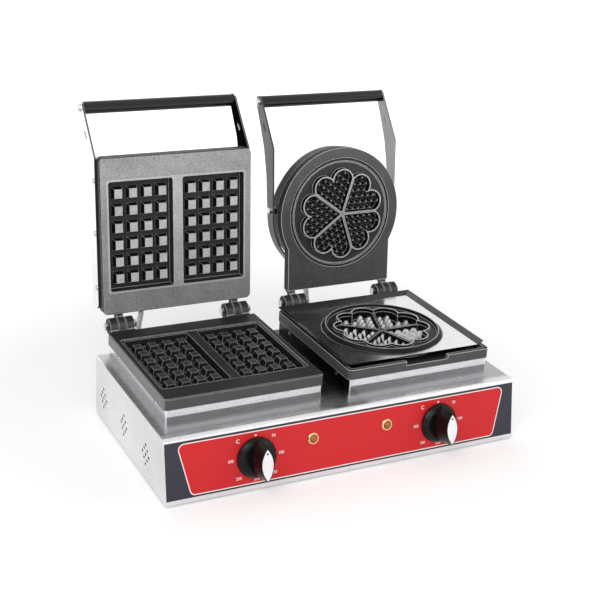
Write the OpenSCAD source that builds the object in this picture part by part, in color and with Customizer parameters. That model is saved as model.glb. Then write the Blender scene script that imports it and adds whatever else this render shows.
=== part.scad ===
// Twin electric waffle baker: a square-grid unit on the left and a round heart unit on the right,
// side by side on one low housing.  Millimetres, +Z up, +X to the right, front faces -Y.
// The origin is on the bench, under the middle of the whole baker with its lids open.

/* [Housing] */
// Width of the housing
base_w = 560; // [550:1:640]
// Depth of the housing at its foot
base_d = 300; // [296:1:340]
// Height of the housing above its feet
base_h = 92; // [86:1:120]
// How far the top of the front panel leans back
front_lean = 15; // [8:0.5:20]
// Radius of the fold between the front panel and the top
fold_r = 5.5; // [4:0.5:11]
// Thickness of the housing's sheet steel
sheet_t = 1.5; // [1:0.1:2]
// Height of the rubber feet
foot_h = 3; // [2:0.5:8]
// Radius of the rubber feet
foot_r = 11; // [8:0.5:16]
// Distance of the feet from the edges of the housing
foot_inset = 32; // [24:1:50]
// Radius of the cooling holes in the side panels
vent_r = 2.3; // [1:0.1:2.5]
// Step from one cooling hole to the next along the panel
vent_step = 6; // [5.5:0.1:8]
// Step from one cooling hole to the next up the panel
vent_rise = 7.4; // [5.5:0.1:8]

/* [Cooking units] */
// Distance of the square unit from the middle of the housing
unit_dx = 141; // [138:0.5:146]
// Distance of the heart unit from the middle of the housing
heart_dx = 142.5; // [140:0.5:146]
// Width of a cast plate
plate_w = 243; // [238:0.5:250]
// Depth of a cast plate
plate_d = 240; // [236:0.5:244]
// Thickness of the square-grid plates
plate_t = 17; // [16:0.5:20]
// Height of the sheet skirt under a lower plate
skirt_h = 18; // [12:0.5:30]
// How far the skirt stands in from the plate's sides
skirt_inset = 2.5; // [1:0.5:6]
// Thickness of the skirt's sheet
skirt_t = 1.2; // [0.8:0.1:2]

/* [Square waffle grid] */
// Pegs across one waffle
peg_cols = 4; // [2:1:4]
// Pegs along one waffle
peg_rows = 6; // [2:1:6]
// Peg spacing across
peg_pitch_x = 23; // [21:0.5:23.5]
// Peg spacing along
peg_pitch_y = 26; // [22:0.5:26.5]
// Width of a peg at its tip
peg_tip_w = 11.8; // [8:0.1:13]
// Length of a peg at its tip
peg_tip_l = 13.7; // [8:0.1:15]
// How much a peg widens on each side down to its root
peg_draft = 2.9; // [1:0.1:3.4]
// Width of one waffle cavity
cavity_w = 101; // [96:0.5:103]
// Length of one waffle cavity
cavity_d = 168; // [160:0.5:174]
// Depth of a waffle cavity
cavity_depth = 11.5; // [9:0.5:12]
// How far the cavity walls lean
cavity_draft = 2.2; // [1:0.1:3]
// How far the peg tips stay below the land
peg_drop = 1.8; // [1:0.1:3]
// Width of the land between the two cavities
land_w = 15.5; // [10:0.5:18]
// Width of the rim round both cavities
rim_w = 4; // [3:0.5:6]
// Depth of the seat cut into the lower plate round the cavities
seat_depth = 1.5; // [1:0.1:2]

/* [Heart waffle] */
// Radius of the ring bead round the heart waffle
ring_r = 88; // [85:0.5:90]
// Half width of the ring bead
bead_r = 2; // [1:0.1:2.4]
// Height of the ring bead above the drip tray
crest_rise = 6; // [5.5:0.5:8]
// How far the heart waffle's middle lies ahead of the plates' middle
ring_fwd = 1.5; // [0:0.5:3]
// Number of hearts
hearts = 5; // [5:1:5]
// Distance of the heart lobes from the middle
lobe_at = 54.5; // [52:0.5:55.5]
// Radius of an upper heart lobe's outer wall
lobe_r = 19; // [18:0.1:19.5]
// Thickness of the walls round and between the hearts
heart_wall = 1.9; // [1.5:0.1:2.2]
// How far the upper hearts stand out of their plate into the lower one
heart_proud = 7; // [5:0.5:8]
// Gap between the upper hearts and the scalloped wall they sink into
cup_gap = 1.2; // [1:0.1:1.5]
// Depth of the heart cavities below their walls
heart_depth = 12; // [9:0.5:12]
// Spacing of the small pegs in the upper hearts
heart_pitch = 10.5; // [10:0.1:11.5]
// Spacing of the larger pegs in the lower hearts
lower_pitch = 14; // [13:0.1:15]
// Radius of the round cast boss of the heart plates
boss_r = 95; // [93:0.5:98]
// Height of the heart plate's outer tray
heart_plate_t = 15.5; // [14:0.5:16]
// Radius of the upper heart plate's disc
disc_r = 106.5; // [104:0.5:108]
// Half width of the tongue that carries the disc to its hinges
tongue_hw = 92.5; // [88:0.5:96]
// Rise of the drip tray's sloped edges
tray_rise = 5; // [3:0.5:6]
// Run of the drip tray's sloped edges
tray_run = 10; // [8:0.5:14]
// Thickness of the drip tray's sheet
tray_t = 1; // [0.8:0.1:1.5]
// Width of the drip tray's strip in front of the round boss
tray_lip = 6; // [4:0.5:10]

/* [Hinges] */
// How far the hinge axis lies behind the plates
hinge_back = 18; // [16:0.5:22]
// Height of the hinge axis above the square lower plate
hinge_up = 1.5; // [1:0.1:2.5]
// Angle between the closed lid and the open lid
open_angle = 95; // [90:1:100]
// Radius of a hinge knuckle
knuckle_r = 12.5; // [11:0.5:13]
// Radius of a hinge bolt
hinge_bolt_r = 4; // [3:0.5:5]
// Width of one hinge
hinge_w = 38; // [34:1:44]
// Distance of the hinges from the middle of the square unit
hinge_dx_square = 95; // [88:1:97]
// Distance of the hinges from the middle of the heart unit
hinge_dx_heart = 85; // [78:1:88]

/* [Lids] */
// Gap between the two square plates when closed
lid_gap = 0.5; // [0.4:0.1:1]
// Thickness of the upper heart plate's disc
disc_t = 15; // [13:0.5:17]
// Height of the square lid's casing above its plate
casing_h = 24; // [22:1:34]
// Height of the heart lid's round housing above its disc
drum_h = 25.5; // [24:0.5:36]
// Radius of the heart lid's round housing
drum_r = 102.5; // [99:0.5:103]
// Thickness of the steel arms
arm_t = 3; // [2:0.5:4]
// Radius of the handle grips
grip_r = 9.5; // [8:0.5:12]
// Distance of the square lid's grip from the hinge axis
grip_reach = 321; // [312:1:330]
// Height of the square lid's grip above the hinge axis, lid closed
grip_rise = 72; // [66:1:78]
// Distance of the heart lid's grip from the hinge axis
heart_grip_reach = 314; // [306:1:322]
// Height of the heart lid's grip above the hinge axis, lid closed
heart_grip_rise = 80; // [74:1:86]

/* [Controls] */
// Distance of each knob from the middle of the front panel
knob_dx = 147; // [120:1:190]
// Height of the knobs up the front panel
knob_s = 46.5; // [42:0.5:50]
// Radius of the knob's skirt
knob_r = 29.5; // [22:0.5:32]
// How far a knob stands out from the front panel
knob_out = 38; // [28:1:42]
// Distance of each signal lamp from the middle of the front panel
lamp_dx = 59.5; // [30:0.5:85]
// Height of the lamps up the front panel
lamp_s = 58; // [40:0.5:66]
// Radius of a lamp's bezel
bezel_r = 8.6; // [7:0.1:11]
// Width of the red panel at its top
red_top_w = 525; // [480:1:535]
// Width of the red panel at its foot
red_foot_w = 489; // [440:1:520]
// Height of the red panel's lower edge
red_s0 = 9; // [4:0.5:15]
// Height of the red panel's upper edge
red_s1 = 84.5; // [70:0.5:85]

/* [Cables] */
// Outer radius of the heater conduits
conduit_r = 4.5; // [3.5:0.5:6]
// Inner radius of the mains cable gland
mains_bore_r = 4.2; // [3:0.1:5]

/* [Hidden] */
$fn = 64;

eps = 0.01;
steel = "silver";
cast = "dimgray";

// heights of the stack on the housing
housing_top = foot_h + base_h;
plate_z0 = housing_top + skirt_h;
plate_top = plate_z0 + plate_t;
unit_y = base_d / 2 - 0.5 - plate_d / 2;
plate_back = unit_y + plate_d / 2;
hinge_y = plate_back + hinge_back;
hinge_z = plate_top + hinge_up;

// the front panel
lean_angle = atan(front_lean / base_h);
panel_len = sqrt(base_h * base_h + front_lean * front_lean);
fold_tangent = fold_r / tan((90 + lean_angle) / 2);
label_t = 0.5;
fascia_t = 0.3;
label_gap = 1.4;
label_foot = 6.3;

// the middle of the baker's depth: from the tip of a knob to the end of the heart lid's arms
arm_end_r = 10;
knob_wing_l = 2 * knob_r - 11;
front_most = -base_d / 2 - (label_t + fascia_t + knob_out) * cos(lean_angle)
    + (knob_s - knob_wing_l / 2) * sin(lean_angle);
rear_most = hinge_y - heart_grip_reach * cos(open_angle) + heart_grip_rise * sin(open_angle) + arm_end_r;
middle_y = (front_most + rear_most) / 2;

// the square grid
grid_w = 2 * cavity_w + land_w + 2 * rim_w;
grid_d = cavity_d + 2 * rim_w;
cavity_dx = (cavity_w + land_w) / 2;
plateau_h = seat_depth - 0.3;
plateau_clear = 1.5;
plate_corner_r = 7;
edge_break = 1.6;

// the heart plates
heart_top = plate_z0 + heart_plate_t;
tray_top = heart_top + tray_t;
crest_z = tray_top + crest_rise;
heart_close_z = crest_z + 0.5;
heart_face_h = heart_close_z - hinge_z;
lid_uc = hinge_back + plate_d / 2;
heart_uc = lid_uc + ring_fwd;
tongue_h0 = heart_face_h;
disc_h1 = heart_face_h + disc_t;
moat_depth = 5;
lobe_half = 180 / (2 * hearts);
upper_pegs = [6.8, heart_pitch, 6, 8, 2.4, lobe_r - heart_wall, 0.385];
lower_pegs = [9, lower_pitch, 5, 11.2, 3, lobe_r + cup_gap - 0.3, 0.54];
heart_peg_drop = 1.5;
notch_x0 = -25;
notch_x1 = 47;
notch_drop = 6;
tray_floor_drop = 6;
tray_rim = 6;

// lids, seen closed and from the hinge axis: y runs back, h runs up
face_h = lid_gap - hinge_up;
lid_back_h = face_h + plate_t;
casing_top = lid_back_h + casing_h;
casing_t = 1.2;
drum_t = 2;
drum_top = disc_h1 + drum_h;
cover_h = 2;
arm_x = plate_w / 2;
yoke_gap = 7;
yoke_r = drum_r + yoke_gap;
screw_head_r = 4;
screw_head_h = 2;
arm_screws_u = [58, 142, 222];
arm_screw_h = 17;
lug_gap = 1.4;
knuckle_w = hinge_w * 0.32;
leaf_t = 4.5;
pin_clear = 0.05;
gland_r = 8;
gland_len = 12;
heater_r = 4;

// controls
shaft_r = 3;
bush_r = 5;
bush_out = 5;
knob_gap = label_gap;
knob_skirt_h = 9;
insert_t = 0.8;
insert_w = 16.5;
knob_wing_w = 19;
thermostat_w = 42;
thermostat_d = 26;

// conduits: hand-picked routes behind the units, in the y-z plane
conduit_y0 = base_d / 2;
conduit_z0 = 40;
left_conduit_dx = -52;
right_conduit_dx = -20;
left_conduit_h = 28;
right_conduit_u = heart_uc - 79.5;
conduit_sides = 10;

// ---- helpers ---------------------------------------------------------------------------------

function unit_x(side) = side > 0 ? heart_dx : -unit_dx;

// moves the housing's own frame to the frame of the whole baker
module framed() { translate([0, -middle_y, 0]) children(); }

function arc(c, r, a0, a1, n) = [for (i = [0:n]) let(a = a0 + (a1 - a0) * i / n) c + r * [cos(a), sin(a)]];

module rounded(w, d, r) {
    square([w - 2 * r, d], center = true);
    square([w, d - 2 * r], center = true);
    for (x = [-1, 1], y = [-1, 1]) translate([x * (w / 2 - r), y * (d / 2 - r)]) circle(r);
}

// a profile in x-z, drawn through y
module through_y(len) { rotate([90, 0, 0]) linear_extrude(len, center = true) children(); }

// a profile in y-z, drawn through x
module through_x(len) { rotate([90, 0, 90]) linear_extrude(len, center = true) children(); }

module tube_x(r, len) { rotate([0, 90, 0]) cylinder(h = len, r = r, center = true); }

// a slab with rounded corners and broken upper edges, z from 0 to t
module slab(w, d, t, r, c) {
    intersection() {
        linear_extrude(t) rounded(w, d, r);
        through_y(d + 2) polygon([[-w / 2, -1], [w / 2, -1], [w / 2, t - c], [w / 2 - c, t + eps],
                                  [-w / 2 + c, t + eps], [-w / 2, t - c]]);
        through_x(w + 2) polygon([[-d / 2, -1], [d / 2, -1], [d / 2, t - c], [d / 2 - c, t + eps],
                                  [-d / 2 + c, t + eps], [-d / 2, t - c]]);
    }
}

// a pocket that narrows downwards, its mouth at z = 0
module pocket(w, d, depth, draft, r) {
    intersection() {
        translate([0, 0, -depth]) linear_extrude(depth + 1) rounded(w, d, r);
        through_y(d + 2) trapezoid(w, depth, draft);
        through_x(w + 2) trapezoid(d, depth, draft);
    }
}

module trapezoid(w, depth, draft) {
    polygon([[-w / 2 + draft, -depth], [w / 2 - draft, -depth], [w / 2, 0], [w / 2, 1], [-w / 2, 1], [-w / 2, 0]]);
}

// one ridge of a peg field, its tip at z = 0
module ridge(tip, draft, depth) {
    polygon([[-tip / 2 - draft, -depth], [tip / 2 + draft, -depth], [tip / 2, 0], [-tip / 2, 0]]);
}

// ---- housing ---------------------------------------------------------------------------------

function housing_outline(t) =
    let(cy = -base_d / 2 + front_lean * (base_h - fold_r) / base_h + fold_r / cos(lean_angle),
        cz = housing_top - fold_r,
        front = -base_d / 2 + t / cos(lean_angle))
    concat([[front, foot_h]],
           arc([cy, cz], fold_r - t, 180 - lean_angle, 90, 8),
           [[base_d / 2 - t, housing_top - t], [base_d / 2 - t, foot_h]]);

module front_frame() {
    translate([0, -base_d / 2, foot_h]) rotate([-lean_angle, 0, 0]) children();
}

module front_hole(x, s, r) {
    translate([x, 0, s]) rotate([90, 0, 0]) cylinder(h = 12, r = r, center = true);
}

module housing_shell() {
    inner_w = base_w - 2 * sheet_t;
    color(steel) framed() difference() {
        through_x(inner_w) difference() {
            polygon(housing_outline(0));
            polygon(housing_outline(sheet_t));
        }
        front_frame() for (side = [-1, 1]) {
            front_hole(side * knob_dx, knob_s, bush_r + 0.1);
            front_hole(side * lamp_dx, lamp_s, bezel_r - 2.5);
        }
        for (p = rear_exits()) translate([p.x, base_d / 2, p.y])
            rotate([90, 0, 0]) cylinder(h = 12, r = gland_r - 1.9, center = true);
        for (side = [-1, 1]) translate([unit_x(side), unit_y, housing_top - sheet_t - 1])
            cylinder(h = sheet_t + 2, r = 18);
    }
}

// where cables leave the rear panel: x and z
function rear_exits() = [
    [-unit_dx + left_conduit_dx, conduit_z0],
    [heart_dx + right_conduit_dx, conduit_z0],
    [mains_x, mains_z]
];
mains_x = base_w / 2 - 75;
mains_z = 34;

module vent_field() {
    for (y = [-91, 0, 91], i = [-1:1], j = [-1:1])
        translate([y + (i - j) * vent_step, (i + j) * vent_rise]) circle(vent_r, $fn = 24);
}

module side_panel() {
    color(steel) framed() through_x(sheet_t) difference() {
        polygon(housing_outline(0));
        translate([unit_y - 8, foot_h + 38]) vent_field();
    }
}

module left_side_panel() { translate([-(base_w - sheet_t) / 2, 0, 0]) side_panel(); }

module right_side_panel() { translate([(base_w - sheet_t) / 2, 0, 0]) side_panel(); }

module bottom_cover() {
    y0 = -base_d / 2 + (sheet_t + 0.05) / cos(lean_angle) + sheet_t * front_lean / base_h;
    y1 = base_d / 2 - sheet_t;
    color(steel) framed() difference() {
        translate([-base_w / 2 + sheet_t, y0, foot_h]) cube([base_w - 2 * sheet_t, y1 - y0, sheet_t]);
        for (x = [-120:20:120], y = [-60, 60]) translate([x, y, foot_h - 1]) vent_slot();
    }
}

module vent_slot() {
    linear_extrude(sheet_t + 2) {
        square([6, 30], center = true);
        for (e = [-15, 15]) translate([0, e]) circle(3, $fn = 24);
    }
}

module rubber_feet() {
    color("black") framed() for (x = [-1, 1], y = [-1, 1])
        translate([x * (base_w / 2 - foot_inset), y * (base_d / 2 - foot_inset), 0]) {
            cylinder(h = foot_h, r = foot_r);
        }
}

// ---- front label, lamps ----------------------------------------------------------------------

module control_holes(r_knob, r_lamp) {
    for (side = [-1, 1]) {
        translate([side * knob_dx, knob_s]) circle(r_knob);
        translate([side * lamp_dx, lamp_s]) circle(r_lamp);
    }
}

module on_panel(out, t) { translate([0, -out, 0]) rotate([90, 0, 0]) linear_extrude(t) children(); }

module control_label() {
    color("dimgray") framed() front_frame() on_panel(0, label_t) difference() {
        polygon([[-base_w / 2 + 1, label_foot], [base_w / 2 - 1, label_foot],
                 [base_w / 2 - 1, panel_len - fold_tangent - 1.2],
                 [-base_w / 2 + 1, panel_len - fold_tangent - 1.2]]);
        control_holes(bush_r + 0.2, bezel_r - 2.4);
    }
}

// rounded trapezoid, wider at its top
module red_outline(inset) {
    r = 4;
    xt = red_top_w / 2 - inset - r * 1.3;
    xf = red_foot_w / 2 - inset - r * 0.9;
    s0 = red_s0 + inset + r;
    s1 = red_s1 - inset - r;
    hull() for (p = [[-xf, s0], [xf, s0], [xt, s1], [-xt, s1]]) translate(p) circle(r, $fn = 32);
}

module red_fascia() {
    color("crimson") framed() front_frame() on_panel(label_t, fascia_t) difference() {
        red_outline(0);
        control_holes(bush_r + 0.2, bezel_r - 2.4);
    }
}

module at_lamps() {
    front_frame() for (side = [-1, 1])
        translate([side * lamp_dx, -label_t - fascia_t, lamp_s]) rotate([90, 0, 0]) children();
}

module lamp_bezels() {
    color("goldenrod") framed() at_lamps() rotate_extrude() polygon([
        [bezel_r - 3.6, -label_t - fascia_t - sheet_t - 6], [bezel_r - 2.6, -label_t - fascia_t - sheet_t - 6],
        [bezel_r - 2.6, 0], [bezel_r, 0], [bezel_r, 1.2], [bezel_r - 1, 2.4], [bezel_r - 2.4, 2.4],
        [bezel_r - 3.6, 1]]);
}

module lamp_lenses() {
    lens_r = bezel_r - 3.6;
    color("orangered") framed() at_lamps() rotate_extrude() polygon(concat(
        [[0, -6], [lens_r, -6]],
        arc([0, 0.8], lens_r, 0, 90, 8)));
}

// ---- thermostats, terminals, glands ----------------------------------------------------------

module thermostat(side) {
    color("gainsboro") framed() front_frame() translate([side * knob_dx, 0, knob_s]) difference() {
        union() {
            translate([-thermostat_w / 2, sheet_t, -thermostat_w / 2 + 2])
                cube([thermostat_w, thermostat_d, thermostat_w - 4]);
            rotate([90, 0, 0]) translate([0, 0, -sheet_t - 1])
                cylinder(h = sheet_t + 1 + label_t + fascia_t + 0.5, r = bush_r);
        }
        rotate([90, 0, 0]) translate([0, 0, -sheet_t - 14]) cylinder(h = 40, r = shaft_r + pin_clear);
    }
}

module left_thermostat() { thermostat(-1); }

module right_thermostat() { thermostat(1); }

module terminal_block() {
    color("white") framed() translate([150, 70, foot_h + sheet_t]) difference() {
        translate([-30, -11, 0]) cube([60, 22, 20]);
        for (x = [-20:10:20]) translate([x, 0, 12]) {
            cylinder(h = 9, r = 2.2, $fn = 24);
            translate([0, 0, -4]) rotate([90, 0, 0]) cylinder(h = 30, r = 1.6, center = true, $fn = 24);
        }
    }
}

// a hexagonal gland on the rear panel, pointing back; its bore is wider behind the panel
module rear_gland(bore, len) {
    rotate([-90, 0, 0]) difference() {
        union() {
            cylinder(h = 5, r = gland_r + 2, $fn = 6);
            cylinder(h = len, r = gland_r - 0.5);
            translate([0, 0, -sheet_t - 4]) cylinder(h = sheet_t + 4, r = gland_r - 2);
            translate([0, 0, len - 6]) cylinder(h = 6, r = gland_r + 1, $fn = 8);
        }
        translate([0, 0, 0.5]) cylinder(h = len, r = bore);
        translate([0, 0, -sheet_t - 5]) cylinder(h = sheet_t + 5.5 + eps, r = bore + 0.9);
    }
}

module mains_gland() {
    color("black") framed() translate([mains_x, base_d / 2, mains_z]) rear_gland(mains_bore_r, 22);
}

module conduit_glands() {
    color(steel) framed() for (p = [rear_exits()[0], rear_exits()[1]])
        translate([p.x, base_d / 2, p.y]) rear_gland(conduit_r - 1.5, gland_len);
}

// ---- skirts and lower plates -----------------------------------------------------------------

module at_unit(side, z) { translate([unit_x(side), unit_y, z]) children(); }

skirt_w = plate_w - 2 * skirt_inset;
skirt_d = plate_d - 2;
skirt_screw_y = [-78, 78];

module skirt(side) {
    color(steel) framed() at_unit(side, housing_top) difference() {
        linear_extrude(skirt_h) difference() {
            rounded(skirt_w, skirt_d, 3);
            rounded(skirt_w - 2 * skirt_t, skirt_d - 2 * skirt_t, 2);
        }
        for (x = [-1, 1], y = skirt_screw_y) translate([x * skirt_w / 2, y, skirt_h * 0.62])
            tube_x(1.6, 8);
    }
}

module left_skirt() { skirt(-1); }

module right_skirt() { skirt(1); }

module skirt_screws() {
    color("gray") framed() for (side = [-1, 1], x = [-1, 1], y = skirt_screw_y)
        at_unit(side, housing_top) translate([x * skirt_w / 2, y, skirt_h * 0.62]) rotate([0, x * 90, 0]) {
            cylinder(h = 1.4, r = 2.8, $fn = 32);
            translate([0, 0, -skirt_t - 3]) cylinder(h = skirt_t + 3 + eps, r = 1.5, $fn = 32);
        }
}

// two cavities side by side, mouths at z = 0
module cavities() {
    for (x = [-1, 1]) translate([x * cavity_dx, 0, 0])
        pocket(cavity_w, cavity_d, cavity_depth, cavity_draft, 4);
}

// both peg fields, tips at z = -peg_drop, roots on the cavity floor
module peg_fields() {
    h = cavity_depth - peg_drop;
    for (x = [-1, 1]) translate([x * cavity_dx, 0, -peg_drop]) intersection() {
        for (i = [0:peg_cols - 1]) translate([(i - (peg_cols - 1) / 2) * peg_pitch_x, 0, 0])
            through_y(cavity_d) ridge(peg_tip_w, peg_draft, h);
        for (j = [0:peg_rows - 1]) translate([0, (j - (peg_rows - 1) / 2) * peg_pitch_y, 0])
            through_x(cavity_w) ridge(peg_tip_l, peg_draft, h);
    }
}

module left_lower_plate() {
    color(cast) framed() at_unit(-1, plate_z0) {
        difference() {
            slab(plate_w, plate_d, plate_t, plate_corner_r, edge_break);
            translate([0, 0, plate_t - seat_depth]) linear_extrude(seat_depth + 1) rounded(grid_w, grid_d, 5);
            translate([0, 0, plate_t - seat_depth]) cavities();
        }
    }
}

module left_lower_pegs() {
    color(cast) framed() at_unit(-1, plate_top - seat_depth) peg_fields();
}

// outline of all the hearts, walls included
module flower(r) {
    circle(lobe_at * 1.05);
    for (k = [0:2 * hearts - 1]) rotate((k + 0.5) * 2 * lobe_half) translate([0, lobe_at]) circle(r);
}

// one heart's cavity, its tip at the middle, its axis along +y; r is the inner radius of its lobes
module heart_cavity(r) {
    f = lobe_at * cos(lobe_half);
    a = 2 * lobe_half;
    intersection() {
        union() {
            for (x = [-1, 1]) translate([x * lobe_at * sin(lobe_half), f]) circle(r);
            polygon([[0, 0], f * [sin(a), cos(a)], [lobe_at * sin(lobe_half), f],
                     [-lobe_at * sin(lobe_half), f], f * [-sin(a), cos(a)]]);
        }
        translate([0, heart_wall / sin(a)]) polygon([[0, 0], 120 * [sin(a), cos(a)], 120 * [-sin(a), cos(a)]]);
    }
}

// true where a point lies inside a heart whose lobes have the inner radius r
function in_heart(p, r) =
    let(a = 2 * lobe_half, f = lobe_at * cos(lobe_half), q = abs(p.x))
    p.y * sin(a) - q * cos(a) >= heart_wall
    && (norm([q - lobe_at * sin(lobe_half), p.y - f]) <= r || (q * sin(a) + p.y * cos(a) <= f && p.y <= f));

// the pegs of a heart stand in rows along both of its straight walls.  A field is
// [first row, row spacing, rows, root width, tip width, inner lobe radius, share of the root that must fit]
heart_dirs = [[sin(2 * lobe_half), cos(2 * lobe_half)], [-sin(2 * lobe_half), cos(2 * lobe_half)]];
function peg_spot(g, i, j) = (g[0] + i * g[1]) * heart_dirs[0] + (g[0] + j * g[1]) * heart_dirs[1];
function peg_fits(g, i, j) = min([for (u = [-1, 1], v = [-1, 1])
    in_heart(peg_spot(g, i, j) + g[3] * g[6] * (u * heart_dirs[0] + v * heart_dirs[1]), g[5]) ? 1 : 0]) == 1;

// the small pegs of one heart, tips at z = 0; each is where two short ridges cross
module heart_pegs(g, depth) {
    for (i = [0:g[2] - 1], j = [0:g[2] - 1]) if (peg_fits(g, i, j)) translate(peg_spot(g, i, j)) intersection() {
        rotate(-2 * lobe_half) through_y(2 * g[3]) ridge(g[4], (g[3] - g[4]) / 2, depth);
        rotate(2 * lobe_half) through_y(2 * g[3]) ridge(g[4], (g[3] - g[4]) / 2, depth);
    }
}

// hearts sunk below z = 0, as a cutter
module heart_cutter(depth, r) {
    for (k = [0:hearts - 1]) rotate(k * 360 / hearts)
        translate([0, 0, -depth]) linear_extrude(depth + 1) heart_cavity(r);
}

module heart_peg_fields(g, depth) {
    for (k = [0:hearts - 1]) rotate(k * 360 / hearts)
        translate([0, 0, -heart_peg_drop]) heart_pegs(g, depth - heart_peg_drop);
}

module bead(z) { translate([0, 0, z]) rotate_extrude() translate([ring_r, 0]) circle(bead_r, $fn = 32); }

// the raised ring round the hearts: a rounded crest with a sloped outer flank
module ring_wall(z0, z1) {
    rotate_extrude() polygon(concat([[ring_r - bead_r, z0]],
        arc([ring_r, z1 - bead_r], bead_r, 180, 30, 8),
        [[boss_r - 1, z0 + 1], [boss_r - 1, z0]]));
}

lower_turn = 90 - 72;

module at_heart() { translate([0, -ring_fwd, 0]) children(); }

// the lower hearts: a scalloped cup with low walls between its five hearts
module right_lower_plate() {
    t = heart_plate_t;
    crest = crest_z - plate_z0;
    moat_floor = crest - moat_depth;
    wall_top = crest - heart_proud;
    color(cast) framed() at_unit(1, plate_z0) {
        difference() {
            union() {
                difference() {
                    linear_extrude(t) rounded(plate_w, plate_d, plate_corner_r);
                    translate([0, 0, t - tray_floor_drop]) linear_extrude(t)
                        rounded(plate_w - 2 * tray_rim, plate_d - 2 * tray_rim, 5);
                    translate([notch_x0, -plate_d / 2 - 1, t - notch_drop])
                        cube([notch_x1 - notch_x0, tray_rim + 2, notch_drop + 1]);
                }
                at_heart() cylinder(h = t, r = boss_r);
                at_heart() cylinder(h = moat_floor, r = ring_r);
                at_heart() ring_wall(t - 1, crest);
                at_heart() rotate(lower_turn) linear_extrude(crest - 1) flower(lobe_r + cup_gap + heart_wall);
            }
            at_heart() rotate(lower_turn) translate([0, 0, wall_top]) heart_cutter(heart_depth, lower_pegs[5]);
            at_heart() rotate(lower_turn) translate([0, 0, wall_top]) linear_extrude(20) flower(lobe_r + cup_gap);
        }
    }
}

module right_lower_pegs() {
    color(cast) framed() at_unit(1, crest_z - heart_proud) at_heart() rotate(lower_turn)
        heart_peg_fields(lower_pegs, heart_depth);
}

module drip_tray() {
    hole_r = boss_r + 0.5;
    xo = plate_w / 2 - 0.5;
    xi = xo - tray_run;
    yo = plate_d / 2 - 0.5;
    yi = yo - tray_run;
    y0 = -hole_r - ring_fwd - tray_lip;
    s = tray_t / cos(atan(tray_rise / tray_run));
    color(steel) framed() at_unit(1, heart_top) difference() {
        union() {
            translate([-xi, y0, 0]) cube([2 * xi, yi - y0, tray_t]);
            for (side = [-1, 1]) intersection() {
                scale([side, 1, 1]) through_y(4 * plate_d)
                    polygon([[xi - eps, 0], [xo, tray_rise], [xo, tray_rise + s], [xi - eps, s]]);
                linear_extrude(40) polygon([[side * (xi - 1), y0], [side * (xi - 1), yi - 1], [side * (xo + 1), yo + 1],
                                            [side * (xo + 1), y0]]);
            }
            intersection() {
                through_x(4 * plate_w)
                    polygon([[yi - eps, 0], [yo, tray_rise], [yo, tray_rise + s], [yi - eps, s]]);
                linear_extrude(40) polygon([[-xi + 1, yi - 1], [xi - 1, yi - 1], [xo + 1, yo + 1], [-xo - 1, yo + 1]]);
            }
        }
        at_heart() translate([0, 0, -1]) cylinder(h = 40, r = hole_r);
    }
}

// ---- hinges ----------------------------------------------------------------------------------

// hinge-axis frame of one lid's lower side
module at_axis(side) { translate([unit_x(side), hinge_y, hinge_z]) children(); }

// the same frame turned to the open lid
module at_lid(side) { at_axis(side) rotate([-open_angle, 0, 0]) children(); }

module lower_hinge(leaf_top) {
    y0 = -hinge_back;
    z0 = -hinge_up - 15;
    difference() {
        union() {
            translate([-hinge_w / 2, y0, z0]) cube([hinge_w, leaf_t, leaf_top - z0]);
            for (x = [-1, 1]) translate([x * (hinge_w - knuckle_w) / 2, 0, 0]) {
                tube_x(knuckle_r, knuckle_w);
                translate([-knuckle_w / 2, y0 + leaf_t - eps, -knuckle_r])
                    cube([knuckle_w, hinge_back - leaf_t, knuckle_r - 2]);
            }
        }
        tube_x(hinge_bolt_r + pin_clear, hinge_w + 2);
    }
}

module upper_hinge(leaf_h0, leaf_h1) {
    mid_w = hinge_w - 2 * knuckle_w - 2 * lug_gap;
    difference() {
        union() {
            translate([-mid_w / 2, -hinge_back, leaf_h0]) cube([mid_w, leaf_t, leaf_h1 - leaf_h0]);
            tube_x(knuckle_r, mid_w);
            translate([-mid_w / 2, -hinge_back + leaf_t - eps, 2]) cube([mid_w, hinge_back - leaf_t, knuckle_r - 2]);
        }
        tube_x(hinge_bolt_r + pin_clear, hinge_w);
    }
}

module hinge_bolt() {
    tube_x(hinge_bolt_r, hinge_w + 0.8 + 2 * eps);
    for (x = [-1, 1]) translate([x * (hinge_w / 2 + 0.4 + 2.5), 0, 0]) rotate([0, 90, 0])
        cylinder(h = 5, r = 6.4, center = true, $fn = 6);
}

module left_lower_hinges() {
    color("darkslategray") framed() at_axis(-1) for (x = [-1, 1]) translate([x * hinge_dx_square, 0, 0])
        lower_hinge(-hinge_up - 1);
}

module right_lower_hinges() {
    color("darkslategray") framed() at_axis(1) for (x = [-1, 1]) translate([x * hinge_dx_heart, 0, 0])
        lower_hinge(heart_top - hinge_z - 0.5);
}

module left_hinge_bolts() {
    color("gray") framed() at_axis(-1) for (x = [-1, 1]) translate([x * hinge_dx_square, 0, 0]) hinge_bolt();
}

module right_hinge_bolts() {
    color("gray") framed() at_axis(1) for (x = [-1, 1]) translate([x * hinge_dx_heart, 0, 0]) hinge_bolt();
}

module left_upper_hinges() {
    color("darkslategray") framed() at_lid(-1) for (x = [-1, 1]) translate([x * hinge_dx_square, 0, 0])
        upper_hinge(1.5, lid_back_h - 1);
}

module right_upper_hinges() {
    color("darkslategray") framed() at_lid(1) for (x = [-1, 1]) translate([x * hinge_dx_heart, 0, 0])
        upper_hinge(tongue_h0 + 0.5, disc_h1 - 0.5);
}

// ---- heaters ---------------------------------------------------------------------------------

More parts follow.
